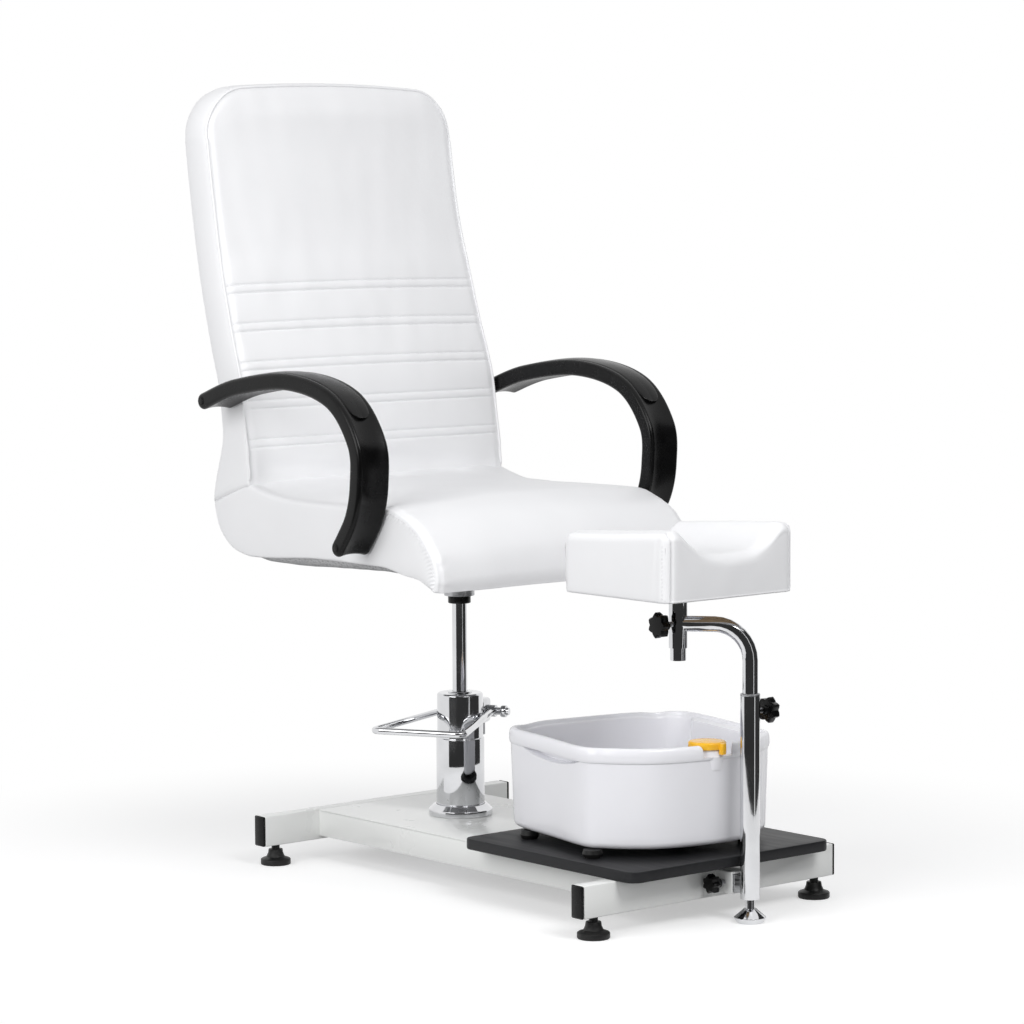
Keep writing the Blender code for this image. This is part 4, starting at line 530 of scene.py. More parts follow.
def white_paint(look):
    """Stoved paint on steel: a faint orange peel under a satin gloss."""
    white = (0.86, 0.87, 0.855)
    cloud = look.noise(14.0, 4)
    look.colour(cloud, shade(white, 0.994), white)
    look.roughness(cloud, 0.27, 0.29)
    look.bump(look.noise(650.0, 2), 0.03, 0.0003)
    look.set("Coat Weight", 0.25)
    look.set("Coat Roughness", 0.12)


def black_plastic(look):
    """Moulded satin black with a fine spark texture and slight wear in its gloss."""
    cloud = look.noise(38.0, 4)
    look.colour(cloud, (0.0026, 0.0026, 0.0027), (0.0044, 0.0044, 0.0046))
    look.roughness(cloud, 0.22, 0.30)
    look.set("Specular IOR Level", 0.18)
    look.bump(look.noise(1400.0, 2), 0.10, 0.0003)


def black_rubber(look):
    dust = look.noise(90.0, 5)
    look.colour(dust, (0.005, 0.005, 0.0052), (0.011, 0.0108, 0.0105), 0.35, 0.75)
    look.roughness(dust, 0.36, 0.52)
    look.set("Specular IOR Level", 0.32)
    look.bump(dust, 0.12, 0.0004)


def charcoal_board(look):
    """Melamine-faced board: charcoal with a fine lengthwise grain."""
    grain = look.noise(95.0, 5, (1, 0.06, 1), 0.6)
    look.colour(grain, (0.0085, 0.0088, 0.0100), (0.0160, 0.0165, 0.0185))
    look.roughness(grain, 0.44, 0.56)
    look.set("Specular IOR Level", 0.26)
    look.bump(grain, 0.12, 0.0005)


def plywood(look):
    grain = look.noise(70.0, 5, (1, 0.08, 0.5), 0.6)
    look.colour(grain, (0.42, 0.28, 0.15), (0.62, 0.46, 0.29))
    look.set("Roughness", 0.6)
    look.bump(grain, 0.12, 0.0005)


def grey_cloth(look):
    """Spun dust-cover cloth with rows of small pressed dots."""
    dots = look.cells(230.0)
    fibre = look.noise(700.0, 3)
    look.colour(dots, (0.36, 0.36, 0.37), (0.58, 0.58, 0.59), 0.25, 0.55)
    look.roughness(fibre, 0.8, 0.95)
    look.bump(dots, 0.35, 0.0006)
    look.bump(fibre, 0.2, 0.0003)


def white_plastic(look):
    """Glossy moulded plastic with a faint lavender cast and moulding flow."""
    white = (0.87, 0.87, 0.905)
    flow = look.noise(7.0, 3)
    look.colour(flow, shade(white, 0.98), shade(white, 1.01))
    look.roughness(flow, 0.14, 0.22)
    look.set("Subsurface Weight", 0.35)
    look.set("Subsurface Radius", (0.010, 0.010, 0.010))
    look.bump(look.noise(45.0, 2), 0.02, 0.0006)


def orange_plastic(look):
    flow = look.noise(60.0, 3)
    look.colour(flow, (0.90, 0.46, 0.018), (0.96, 0.55, 0.028))
    look.roughness(flow, 0.22, 0.32)
    look.bump(flow, 0.03, 0.0004)


FINISHES = (white_leatherette, chrome, bare_steel, white_paint, black_plastic, black_rubber, charcoal_board,
            plywood, grey_cloth, white_plastic, orange_plastic, white_thread)
LOOKS = {}
for finish in FINISHES:
    new_look = Look(f"{finish.__name__}_look")
    finish(new_look)
    LOOKS[finish.__name__] = new_look.material


def dress(obj, body, slot, look=None):
    """Give a piece the material of its slot, or another that is given, and the body that it rides on."""
    obj.data.materials.clear()
    obj.data.materials.append(look or LOOKS[slot])
    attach(obj, body)


# Solids that stay: welded, eased at their edges and shaded smooth
SHARP_ANGLE = math.radians(32)
BEVEL_ANGLE = math.radians(40)
WELD_DISTANCE = 0.00002
EASED_EDGES = {"crossbar": 0.0012, "side_rail": 0.001, "deck": 0.0006, "end_cap": 0.0008,
               "tray_board": 0.0022, "footrest_socket": 0.001, "slide_bar": 0.0008, "pedal_block": 0.0008,
               "seat_plate": 0.0008, "bolster": 0.0008, "pump_flange": 0.0008, "casing": 0.0008,
               "column_foot": 0.0007, "knob": 0.0009, "levelling_foot": 0.0007, "collar": 0.0008,
               "shaft_nut": 0.0006, "dial": 0.0012}


def smoothing_group():
    """Geometry nodes that drop stored normals, shade faces smooth and keep sharp edges sharp."""
    group = bpy.data.node_groups.new("smooth_shading", "GeometryNodeTree")
    for direction in ('INPUT', 'OUTPUT'):
        group.interface.new_socket("Geometry", in_out=direction, socket_type='NodeSocketGeometry')
    start = add_node(group, "NodeGroupInput")
    inputs = {"Geometry": start.outputs[0], "Name": "custom_normal"}
    drop = add_node(group, "GeometryNodeRemoveAttribute", inputs)
    inputs = {"Geometry": drop.outputs["Geometry"]}
    faces = add_node(group, "GeometryNodeSetShadeSmooth", inputs, domain='FACE')
    angle = add_node(group, "GeometryNodeInputMeshEdgeAngle")
    inputs = {"A": angle.outputs["Unsigned Angle"], "B": SHARP_ANGLE}
    sharp = add_node(group, "FunctionNodeCompare", inputs, data_type='FLOAT', operation='GREATER_THAN')
    inputs = {"Geometry": faces.outputs["Geometry"], "Selection": sharp.outputs["Result"],
              "Shade Smooth": False}
    edges = add_node(group, "GeometryNodeSetShadeSmooth", inputs, domain='EDGE')
    add_node(group, "NodeGroupOutput", {0: edges.outputs["Geometry"]})
    return group


SMOOTHING = smoothing_group()


def shade_by_angle(obj):
    smooth = obj.modifiers.new("smooth_shading", 'NODES')
    smooth.node_group = SMOOTHING


def refine_node(obj):
    weld = obj.modifiers.new("weld", 'WELD')
    weld.merge_threshold = WELD_DISTANCE
    for key, width in EASED_EDGES.items():
        if key in obj.name:
            bevel = obj.modifiers.new("eased_edges", 'BEVEL')
            bevel.width = width
            bevel.segments = 2
            bevel.limit_method = 'ANGLE'
            bevel.angle_limit = BEVEL_ANGLE
            break
    shade_by_angle(obj)


for subpart in frame["record"]["subparts"]:
    node = NODES[subpart["node"]]
    node.data.materials.clear()
    node.data.materials.append(LOOKS[subpart["material_slot"]])
    refine_node(node)


# Padded back
CUSHION_COLUMNS = 89
SLOPE_PROBE = 0.002
BACK_TABLE_POINTS = 800
BACK_TABLE = smooth_line(BACK_LINE, BACK_TABLE_POINTS)
CHANNEL_LINES = [CHANNEL_TOP - k * CHANNEL_STEP + side * CHANNEL_PAIR / 2
                 for k in range(CHANNEL_COUNT) for side in (1, -1)]
# Rows of points: their step, those beside each sewn line and those below the top
LEVEL_STEP = 0.0075
LEVEL_STEP_LEAST = 0.0006
CHANNEL_ROWS = (-0.0042, -0.0028, -0.0016, -0.0008, 0, 0.0008, 0.0016, 0.0028, 0.0042)
TOP_ROWS = (0.010, 0.007, 0.0045, 0.0025, 0.001, 0.0)
TOP_ROWS_FROM = 0.012
# Height and width of the grooves at the sewn lines, and of the puffed rolls within and between their pairs
GROOVE = (0.0021, 0.0017)
PAIR_PUFF = (0.0012, 0.0050)
ROLL_PUFF = (0.0012, 0.020)
CHANNEL_END_POWER = 24
# How far the puckers reach from a sewn line, and its stitches across the width
PUCKER_REACH = 0.010
STITCHED_SHARE = 0.985
STITCHED_POINTS = 160
STITCHED_PROBE = 0.004
# Level and width of the folds at the foot of the back
FOLD_LEVEL = 0.640
FOLD_WIDTH = 0.030
# How the crown fades at the foot and at the top, where a share of it stays
CROWN_FOOT_FADE = 0.05
CROWN_TOP_FADE = 0.06
CROWN_TOP_SHARE = 0.15
# Fall of the front towards its edges
EDGE_FALL = 0.0022
EDGE_FALL_SHARE = 0.05
EDGE_FALL_HEIGHT = 0.016
# Swell of the rear and of the sides
REAR_SWELL = 0.004
REAR_SWELL_FADE = 0.10
BACK_SIDE_BULGE = 0.0025
# Foot of the back: how far it goes below the crease, its reach to the rear and its lap over the heel
FOOT_BELOW = 0.007
FOOT_REACH = 0.007
FOOT_LAP = 0.001
FOOT_BLEND = 0.060
# Welt at the edge of the front
WELT_RADIUS = 0.0023
WELT_OUT = 0.0024
WELT_SUNK = 0.0004
WELT_POINTS = 420


def back_line_y(height):
    return np.interp(height, BACK_TABLE[:, 0], BACK_TABLE[:, 1])


def back_place(x, height, depth):
    """Points at a depth behind the front face, square to it."""
    slope = (back_line_y(height + SLOPE_PROBE) - back_line_y(height - SLOPE_PROBE)) / (2 * SLOPE_PROBE)
    length = np.hypot(slope, 1.0)
    return np.stack(np.broadcast_arrays(x, back_line_y(height) + depth / length,
                                        height - depth * slope / length), -1)


def back_half_width(height):
    return SEAT_HALF_WIDTH - BACK_TAPER * ease((height - BACK_TAPER_START) / BACK_TAPER_LENGTH)


def back_depth(height):
    return BACK_THICKNESS + BACK_FOOT_EXTRA * ease(1 - (height - BACK_FOOT_LEVEL) / BACK_FOOT_FADE)


def back_sheet(across, level, inset):
    """X and height for a place across (-1 to 1) and a level, inside the rounded top corners."""
    x = across * (back_half_width(level) - inset)
    top_half = SEAT_HALF_WIDTH - BACK_TAPER - inset
    radius = BACK_CORNER - inset
    over = np.clip(np.abs(across) * top_half - (top_half - radius), 0, radius)
    corner = radius - np.sqrt(radius * radius - over * over)
    top = BACK_TOP - inset - BACK_TOP_CROWN * across ** 2 - corner
    stretch = (top - BACK_STRETCH_FROM) / (BACK_TOP - BACK_STRETCH_FROM)
    above = np.maximum(level - BACK_STRETCH_FROM, 0)
    return x, np.minimum(level, BACK_STRETCH_FROM) + above * stretch


def back_relief(across, height):
    """How far the sewn front stands forward: grooves at the sewn lines and puffed rolls between them."""
    relief = np.zeros(np.broadcast(across, height).shape)
    for line in CHANNEL_LINES:
        relief -= GROOVE[0] * bell(height - line, GROOVE[1])
    for k in range(CHANNEL_COUNT):
        middle = CHANNEL_TOP - k * CHANNEL_STEP
        relief += PAIR_PUFF[0] * bell(height - middle, PAIR_PUFF[1])
        relief += ROLL_PUFF[0] * bell(height - middle - CHANNEL_STEP / 2, ROLL_PUFF[1])
    return relief * (1 - np.abs(across) ** CHANNEL_END_POWER)


def back_front(across, level):
    """Points on the front of the back, with crown, channels and the wrinkles that run to the crease."""
    across, level = np.broadcast_arrays(across, level)
    x, height = back_sheet(across, level, BACK_FRONT_EDGE)
    crown = BACK_CROWN * (1 - across ** 2) * ease((level - CREASE[1]) / CROWN_FOOT_FADE)
    crown *= ease((BACK_TOP - level) / CROWN_TOP_FADE + CROWN_TOP_SHARE)
    fall = EDGE_FALL * ease(1 - (1 - np.abs(across)) / EDGE_FALL_SHARE)
    fall += EDGE_FALL * ease(1 - (BACK_TOP - level) / EDGE_FALL_HEIGHT)
    places = np.stack([x, np.zeros_like(x), height], -1)
    near_line = sum(bell(height - line, PUCKER_REACH) for line in CHANNEL_LINES)
    pucker = wrinkles(places, *BACK_PUCKER) * np.clip(near_line, 0, 1)
    folds = wrinkles(places, *BACK_FOLDS) * bell(height - FOLD_LEVEL, FOLD_WIDTH)
    depth = fall - crown - back_relief(across, height) + wrinkles(places, *BACK_TUG) + pucker + folds
    return back_place(x, height, depth)


def back_levels():
    """Levels of the rows of points, closer together at the sewn lines and below the top."""
    levels = list(np.arange(CREASE[1] - FOOT_BELOW, BACK_TOP - TOP_ROWS_FROM, LEVEL_STEP))
    levels += [line + step for line in CHANNEL_LINES for step in CHANNEL_ROWS]
    levels += [BACK_TOP - step for step in TOP_ROWS]
    kept = []
    for level in sorted(levels):
        if not kept or level - kept[-1] > LEVEL_STEP_LEAST:
            kept.append(level)
    return np.array(kept)


def front_normals(points):
    """Normals of a grid of points laid out as rows of levels and columns across."""
    return unit(np.cross(np.gradient(points, axis=1), np.gradient(points, axis=0)))


def build_back():
    across = across_columns(CUSHION_COLUMNS)[None, :]
    levels = back_levels()[:, None]
    front = back_front(across, levels)
    x, height = back_sheet(across, levels, BACK_REAR_EDGE)
    swell = REAR_SWELL * (1 - across ** 2) * ease((BACK_TOP - levels) / REAR_SWELL_FADE)
    rear = back_place(x, height, back_depth(levels) + swell)
    foot = ease(1 - (levels - CREASE[1]) / FOOT_BLEND)[..., None]
    rear = rear + foot * np.array([0, FOOT_REACH, HEEL[1] + FOOT_LAP - rear[0, 0, 2]])
    rear[..., 1] += wrinkles(rear, *BACK_REAR_TUG)
    loop = boundary(*front.shape[:2])
    above = loop[:, 0] > 0
    at_foot = ~above & (loop[:, 1] > 0) & (loop[:, 1] < CUSHION_COLUMNS - 1)
    back, outward = boxed_cushion("back_padding", front, rear, np.where(at_foot, JOINT_EDGE, BACK_FRONT_EDGE),
                                  np.where(at_foot, JOINT_EDGE, BACK_REAR_EDGE),
                                  np.where(above, BACK_SIDE_BULGE, 0.0), plain_rows=(0,))
    dress(back, "seat", "white_leatherette")
    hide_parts("back_cushion", "back_cover")
    edge = front[loop[:, 0], loop[:, 1]]
    facing = front_normals(front)[loop[:, 0], loop[:, 1]]
    rim = edge[above] + outward[above] * WELT_OUT - facing[above] * WELT_SUNK
    welt = swept_cord("back_welt", resample(rim, WELT_POINTS), WELT_RADIUS)
    dress(welt, "seat", "white_leatherette")
    lines = []
    reach = np.linspace(-STITCHED_SHARE, STITCHED_SHARE, STITCHED_POINTS)
    for line in CHANNEL_LINES:
        places = back_front(reach, np.full_like(reach, line))
        beside = back_front(reach, np.full_like(reach, line + STITCHED_PROBE))
        normal = unit(np.cross(np.gradient(places, axis=0), beside - places))
        lines.append((places, normal * np.sign(-normal[:, 1:2])))
    stitched_row("back_channel_stitches", "seat", lines, *BACK_STITCH)


# Padded seat
SEAT_PATH_POINTS = 900
SEAT_FLAT_ROWS = 70
SEAT_ROLL_ROWS = 120
SEAT_CROWN_FADE = 0.10
SEAT_SIDE_BULGE = 0.0020
# Where the skirt's lower edge is drawn up, and over which length at each end
SKIRT_LIFT_REAR = 0.38
SKIRT_LIFT_REAR_FADE = 0.18
SKIRT_LIFT_FRONT = -0.01
SKIRT_LIFT_FRONT_FADE = 0.07
# Rounded fall of the top at its sides, and the seam that takes its place towards the front
SEAT_EDGE_FALL = 0.004
SEAT_EDGE_FALL_WIDTH = 0.036
SEAT_SEAM_FADE = 0.05
SEAT_SEAM_DEPTH = 0.0030
SEAT_SEAM_WIDTH = 0.0045
SEAT_GATHERS_PLACE = 0.006
SEAT_GATHERS_WIDTH = 0.012
# Folds in front of the crease
SEAT_FOLDS_WIDTH = 0.045
SEAT_FOLDS_FADE = 0.012
# Stitches of the seam: where they run on the side, and the point that their line is drawn in towards
SEAT_STITCH_LIFT = 0.0006
SEAT_STITCH_INSET = 0.0035
SEAT_STITCH_FROM = 0.2
SEAT_STITCH_END_ROWS = 4
SEAT_MIDDLE = np.array([0, 0.20, 0.45])


def seat_rows(line):
    """The rows of a seat line: wide steps over the seat and close ones round the front roll."""
    path = smooth_line(line, SEAT_PATH_POINTS)
    places = np.concatenate([np.linspace(0, SEAT_ROLL_FROM, SEAT_FLAT_ROWS, endpoint=False),
                             np.linspace(SEAT_ROLL_FROM, 1, SEAT_ROLL_ROWS)])
    share = np.linspace(0, 1, len(path))
    return np.stack([np.interp(places, share, path[:, k]) for k in range(2)], 1)


def skirt_lift(y):
    """How far the lower edge of the skirt is drawn up between the rear and the front roll."""
    rear = ease((SKIRT_LIFT_REAR - y) / SKIRT_LIFT_REAR_FADE)
    return SKIRT_LIFT * rear * ease((y - SKIRT_LIFT_FRONT) / SKIRT_LIFT_FRONT_FADE)


def across_grid(column):
    return np.repeat(column[:, None], CUSHION_COLUMNS, 1)


def build_seat():
    top_path = seat_rows(SEAT_LINE)
    skirt_path = seat_rows(SKIRT_LINE)
    skirt_path[:, 1] += skirt_lift(skirt_path[:, 0])
    rows = len(top_path)
    across = across_columns(CUSHION_COLUMNS)[None, :]
    y = across_grid(top_path[:, 0])
    z = across_grid(top_path[:, 1])
    crown = SEAT_CROWN * (1 - across ** 2) * ease((CREASE[0] - y) / SEAT_CROWN_FADE)
    crown *= ease((z - FRONT_LIP_BOTTOM) / SEAT_CROWN_FADE)
    sewn = ease((SEAT_SEAM_FROM - y) / SEAT_SEAM_FADE)
    edge = SEAT_TOP_EDGE + (SEAT_SEAM_EDGE - SEAT_TOP_EDGE) * sewn
    x = across * (SEAT_HALF_WIDTH - edge)
    from_edge = (1 - np.abs(across)) * SEAT_HALF_WIDTH
    edge_fall = SEAT_EDGE_FALL * ease(1 - from_edge / SEAT_EDGE_FALL_WIDTH) * (1 - sewn)
    seam = SEAT_SEAM_DEPTH * bell(from_edge, SEAT_SEAM_WIDTH) * sewn
    places = np.stack([x, y, z], -1)
    gathers = wrinkles(places, *SEAT_GATHERS) * bell(from_edge - SEAT_GATHERS_PLACE, SEAT_GATHERS_WIDTH)
    gathers *= sewn
    folds = wrinkles(places, *SEAT_FOLDS) * bell(y - CREASE[0], SEAT_FOLDS_WIDTH)
    folds *= ease((CREASE[0] - y) / SEAT_FOLDS_FADE)
    top = np.stack([x, y, z + crown - edge_fall], -1)
    normal = front_normals(top)
    normal *= np.sign(normal[rows // 4, CUSHION_COLUMNS // 2, 2])
    top = top + normal * (wrinkles(places, *SEAT_TUG) + folds + gathers - seam)[..., None]
    bottom_x = across * (SEAT_HALF_WIDTH - SEAT_BOTTOM_EDGE) * np.ones_like(y)
    bottom = np.stack([bottom_x, across_grid(skirt_path[:, 0]), across_grid(skirt_path[:, 1])], -1)
    loop = boundary(rows, CUSHION_COLUMNS)
    at_ends = (loop[:, 0] == 0) | (loop[:, 0] == rows - 1)
    inside = at_ends & (loop[:, 1] > 0) & (loop[:, 1] < CUSHION_COLUMNS - 1)
    seat, _ = boxed_cushion("seat_padding", top, bottom, np.where(inside, JOINT_EDGE, edge[loop[:, 0], 0]),
                            np.where(inside, JOINT_EDGE, SEAT_BOTTOM_EDGE),
                            np.where(at_ends, 0.0, SEAT_SIDE_BULGE),
                            np.where(at_ends, 0.0, sewn[loop[:, 0], 0]), plain_rows=(0, rows - 1))
    dress(seat, "seat", "white_leatherette")
    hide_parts("seat_cushion")
    lines = []
    kept = (sewn[:, 0] > SEAT_STITCH_FROM) & (np.arange(rows) < rows - SEAT_STITCH_END_ROWS)
    for column, hand in ((0, -1.0), (-1, 1.0)):
        rim = top[kept, column] * [0, 1, 1]
        side = np.array([hand, 0, 0])
        inward = unit(SEAT_MIDDLE - rim)
        line = rim + side * (SEAT_HALF_WIDTH + SEAT_STITCH_LIFT)
        line += inward * (SEAT_SEAM_EDGE + SEAT_STITCH_INSET)
        lines.append((line, np.repeat(side[None], kept.sum(), 0)))
    stitched_row("seat_seam_stitches", "seat", lines, *SEAT_STITCH)


# Calf pad
PAD_LOW, PAD_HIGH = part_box("pad_cushion")
PAD_CENTRE = np.array([(PAD_LOW.x + PAD_HIGH.x) / 2, (PAD_LOW.y + PAD_HIGH.y) / 2 - SHIFT, 0])
PAD_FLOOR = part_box("pad_board")[0].z
PAD_HALF = PAD_DEPTH / 2
PAD_FLAT = PAD_HALF - PAD_ROUND
PAD_COLUMNS = 61
PAD_WALL_ROWS = 44
PAD_TOP_ROWS = 44
PAD_ROUND_STEPS = 9
PAD_CORNER_MOST = 1.1
# Lowest row of the end walls
PAD_WALL_FOOT = PAD_FLOOR + 0.002
# Share of the half width that the valley takes, and how wide its bottom is
PAD_VALLEY_SHARE = 0.93
PAD_VALLEY_POWER = 1.9
# Fall of the top towards its sides, which grows with the height
PAD_EDGE_FALL = 0.006
PAD_EDGE_FALL_SHARE = 0.20
PAD_EDGE_FALL_RATE = 1.4
PAD_EDGE_FALL_FROM = 0.3
# Swell of the end walls, and how much of the height it takes
PAD_WALL_SWELL = 0.002
PAD_WALL_SWELL_RATE = 1.3
PAD_WALL_NEAR = 0.0005
PAD_SIDE_BULGE = 0.0005
# Groove of the front seams
PAD_SEAM_DEPTH = 0.0046
PAD_SEAM_WIDTH = 0.0017
PAD_SEAM_BELOW = 0.006
PAD_PUCKER = 0.35
PAD_PUCKER_FROM = 0.012
# Where the edges change from the round sides to the sewn front
PAD_FRONT_FROM = 0.004
PAD_FRONT_FADE = 0.018
# Underside: its inset at the ends and sides, how evenly its rows lie and the board within the hem
PAD_UNDER_END = 0.006
PAD_UNDER_SIDE = 0.004
PAD_UNDER_EVEN = 0.15
PAD_UNDER_DROP = 0.0012
PAD_BOARD_RISE = 0.004
# Stitches beside the front seams
PAD_STITCH_POINTS = 40
PAD_STITCH_LOW = 0.006
PAD_STITCH_HIGH = 0.026
PAD_STITCH_BACK = 0.009
PAD_STITCH_LIFT = 0.0004


def pad_top(across, place):
    """Height of the top of the pad: a valley for the calf between two wings that rise towards the front."""
    share = np.minimum(np.abs(across) / PAD_VALLEY_SHARE, 1.0) ** PAD_VALLEY_POWER
    hollow = 0.5 + 0.5 * np.cos(share * math.pi)
    return PAD_TOP - PAD_FRONT_RISE * (0.5 + place / PAD_DEPTH) - PAD_VALLEY * hollow


def round_pad_corners(points):
    """Move the upright corners of a boxed pad onto round ones, without moving its flat sides."""
    moved = points.copy()
    offset = points[:, :2] - PAD_CENTRE[:2]
    square = np.array([PAD_WIDTH, PAD_DEPTH]) / 2 - PAD_CORNER
    over = np.clip((np.abs(offset) - square) / PAD_CORNER, 0, PAD_CORNER_MOST)
    shrunk = over * np.sqrt(np.clip(1 - over[:, ::-1] ** 2 / 2, 0, 1))
    moved[:, :2] += np.sign(offset) * (shrunk - over) * PAD_CORNER
    return moved


def pad_cover(across):
    """Rows of points up the rear wall, over the top and down the front wall, with each row's edge radius."""
    turn = np.linspace(0, math.pi / 2, PAD_ROUND_STEPS)[1:-1, None]
    rise = np.linspace(0, 1, PAD_WALL_ROWS)[:, None]
    run = np.linspace(PAD_FLAT, -PAD_FLAT, PAD_TOP_ROWS)[:, None]
    wall = np.full((PAD_WALL_ROWS, 1), PAD_HALF)
    cos = PAD_ROUND * np.cos(turn)
    sin = PAD_ROUND * np.sin(turn)
    rear_top = pad_top(across, PAD_FLAT) - PAD_ROUND
    front_top = pad_top(across, -PAD_FLAT) - PAD_ROUND
    rear_wall = PAD_WALL_FOOT + (rear_top - PAD_WALL_FOOT) * rise
    front_wall = PAD_WALL_FOOT + (front_top - PAD_WALL_FOOT) * rise[::-1]
    y = np.concatenate([wall, PAD_FLAT + cos, run, -PAD_FLAT - sin, -wall])
    z = np.concatenate([rear_wall, rear_top + sin, pad_top(across, run), front_top + cos, front_wall])
    at_front = ease((-y - PAD_FLAT + PAD_FRONT_FROM) / PAD_FRONT_FADE)
    edge = PAD_SIDE_EDGE + (PAD_FRONT_EDGE - PAD_SIDE_EDGE) * at_front
    height = (z - PAD_FLOOR) / (PAD_TOP - PAD_FLOOR)
    fall = PAD_EDGE_FALL * ease(1 - (1 - np.abs(across)) / PAD_EDGE_FALL_SHARE)
    fall = fall * ease(height * PAD_EDGE_FALL_RATE - PAD_EDGE_FALL_FROM)
    top = np.stack(np.broadcast_arrays(across * (PAD_WIDTH / 2 - edge), y, z - fall), -1)
    on_wall = np.abs(y) > PAD_HALF - PAD_WALL_NEAR
    tug = wrinkles(top, *PAD_TUG)
    swell = PAD_WALL_SWELL * np.sin(np.clip(height * PAD_WALL_SWELL_RATE, 0, 1) * math.pi) * (1 - across ** 2)
    top[..., 1] += np.where(on_wall, np.sign(y) * (swell - PAD_WALL_SWELL) + tug, 0)
    top[..., 2] += np.where(on_wall, 0, tug)
    from_side = (1 - np.abs(across)) * PAD_WIDTH / 2
    in_front = top[..., 1] < -PAD_FLAT - PAD_SEAM_BELOW
    top[..., 1] += PAD_SEAM_DEPTH * bell(from_side - PAD_SEAM_INSET, PAD_SEAM_WIDTH) * in_front
    return top, edge[:, 0]


def pad_underside(across, top):
    """The covered underside: a hem all round, and the board a little higher within it."""
    rows = len(top)
    end = PAD_HALF - PAD_UNDER_END
    even = np.linspace(1, -1, rows)[:, None] * end
    y = (1 - PAD_UNDER_EVEN) * np.clip(top[..., 1], -end, end) + PAD_UNDER_EVEN * even
    x = np.repeat(across * (PAD_WIDTH / 2 - PAD_UNDER_SIDE), rows, 0)
    from_edge = np.minimum(PAD_HALF - np.abs(y), PAD_WIDTH / 2 - np.abs(x))
    z = PAD_FLOOR - PAD_UNDER_DROP + PAD_BOARD_RISE * ease((from_edge - PAD_HEM) / PAD_BOARD_RISE)
    return np.stack([x, y, z], -1)


def build_pad():
    across = across_columns(PAD_COLUMNS)[None, :]
    top, edge = pad_cover(across)
    bottom = pad_underside(across, top)
    loop = boundary(len(top), PAD_COLUMNS)
    at_ends = (loop[:, 0] == 0) | (loop[:, 0] == len(top) - 1)
    on_front = (top[loop[:, 0], loop[:, 1], 1] < -PAD_HALF + PAD_PUCKER_FROM) & ~at_ends
    pad, _ = boxed_cushion("calf_pad", top + PAD_CENTRE, bottom + PAD_CENTRE, edge[loop[:, 0]],
                           PAD_BOTTOM_EDGE, np.where(at_ends, 0.0, PAD_SIDE_BULGE), on_front * PAD_PUCKER,
                           round_pad_corners)
    dress(pad, "pad", "white_leatherette")
    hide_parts("pad_cushion")
    heights = np.linspace(PAD_FLOOR + PAD_STITCH_LOW, PAD_TOP - PAD_STITCH_HIGH, PAD_STITCH_POINTS)
    lines = []
    for side in (-1.0, 1.0):
        x = side * (PAD_WIDTH / 2 + PAD_STITCH_LIFT)
        line = np.stack(np.broadcast_arrays(x, -PAD_HALF + PAD_STITCH_BACK, heights), -1)
        normals = np.tile([side, 0.0, 0.0], (PAD_STITCH_POINTS, 1))
        lines.append((round_pad_corners(line + PAD_CENTRE), normals))
    stitched_row("calf_pad_stitches", "pad", lines, *PAD_STITCH)


build_back()
build_seat()
build_pad()


# Dust cover
DUST_POINTS = 61
DUST_EDGE_POWER = 30
DUST_DROP_FROM = 0.06
DUST_DROP_LENGTH = 0.25
DUST_LAP = 0.001


def build_dust_cover():
    across = across_columns(DUST_POINTS)[None, :]
    along = across_columns(DUST_POINTS)[:, None]
    x = np.repeat(across * DUST_HALF_WIDTH, DUST_POINTS, 0)
    y = np.repeat((DUST_FRONT + DUST_REAR) / 2 + along * (DUST_REAR - DUST_FRONT) / 2, DUST_POINTS, 1)
    hang = (1 - across ** DUST_EDGE_POWER) * (1 - along ** DUST_EDGE_POWER)
    ripple = wrinkles(np.stack([x, y, np.zeros_like(x)], -1), *DUST_RIPPLE) * hang
    low = DUST_REAR_DROP * ease((y - DUST_DROP_FROM) / DUST_DROP_LENGTH) + DUST_SAG * (1 - across ** 2)
    z = DUST_LEVEL + (skirt_lift(y) + DUST_LAP) * (1 - hang) - low * hang + ripple
    hole = np.hypot(x, y - PUMP_Y).reshape(-1) < DUST_HOLE
    faces = [f for f in grid_faces(DUST_POINTS, DUST_POINTS) if not hole[list(f)].any()]
    used = sorted({k for f in faces for k in f})
    index = {k: n for n, k in enumerate(used)}
    points = np.stack([x, y, z], -1).reshape(-1, 3)[used]
    cover = mesh_object("dust_cloth", points, [tuple(index[k] for k in f) for f in faces])
    dress(cover, "seat", "grey_cloth")
    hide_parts("dust_cover")


build_dust_cover()


# Arms: a swept band with rounded sides and ends, a raised cap on top and a plug over each bolt
ARM_STATIONS = 150
ARM_SECTION_POINTS = 45
ARM_SIDE_ROUND = 0.0065
ARM_HOLLOW = 0.0030
ARM_END_TURNS = (14, 28, 42, 54, 65, 75, 83)
# Cap: where along the arm it ends and how long its tip is, its crown and the shape of its tip
ARM_CAP_HALF_WIDTH = 0.0205
ARM_CAP_END = 0.650
ARM_CAP_TIP = 0.062
ARM_CAP_TIP_STEPS = 22
ARM_CAP_TIP_POWER = 0.7
ARM_CAP_TIP_LEAST = 0.0004
ARM_CAP_COLUMNS = 25
ARM_CAP_CROWN = 0.0150
ARM_CAP_FALL = 0.0020
ARM_CAP_SINK_LENGTH = 2.6
ARM_CAP_SINK_SHARE = 0.4
# Cap's sides: eased edge, flare and depth of the shoulder, and the level where they end in the arm
ARM_CAP_EASE = 0.0007
ARM_CAP_FLARE = 1.012
ARM_CAP_SHOULDER = 0.0014
ARM_CAP_BASE = 0.0036
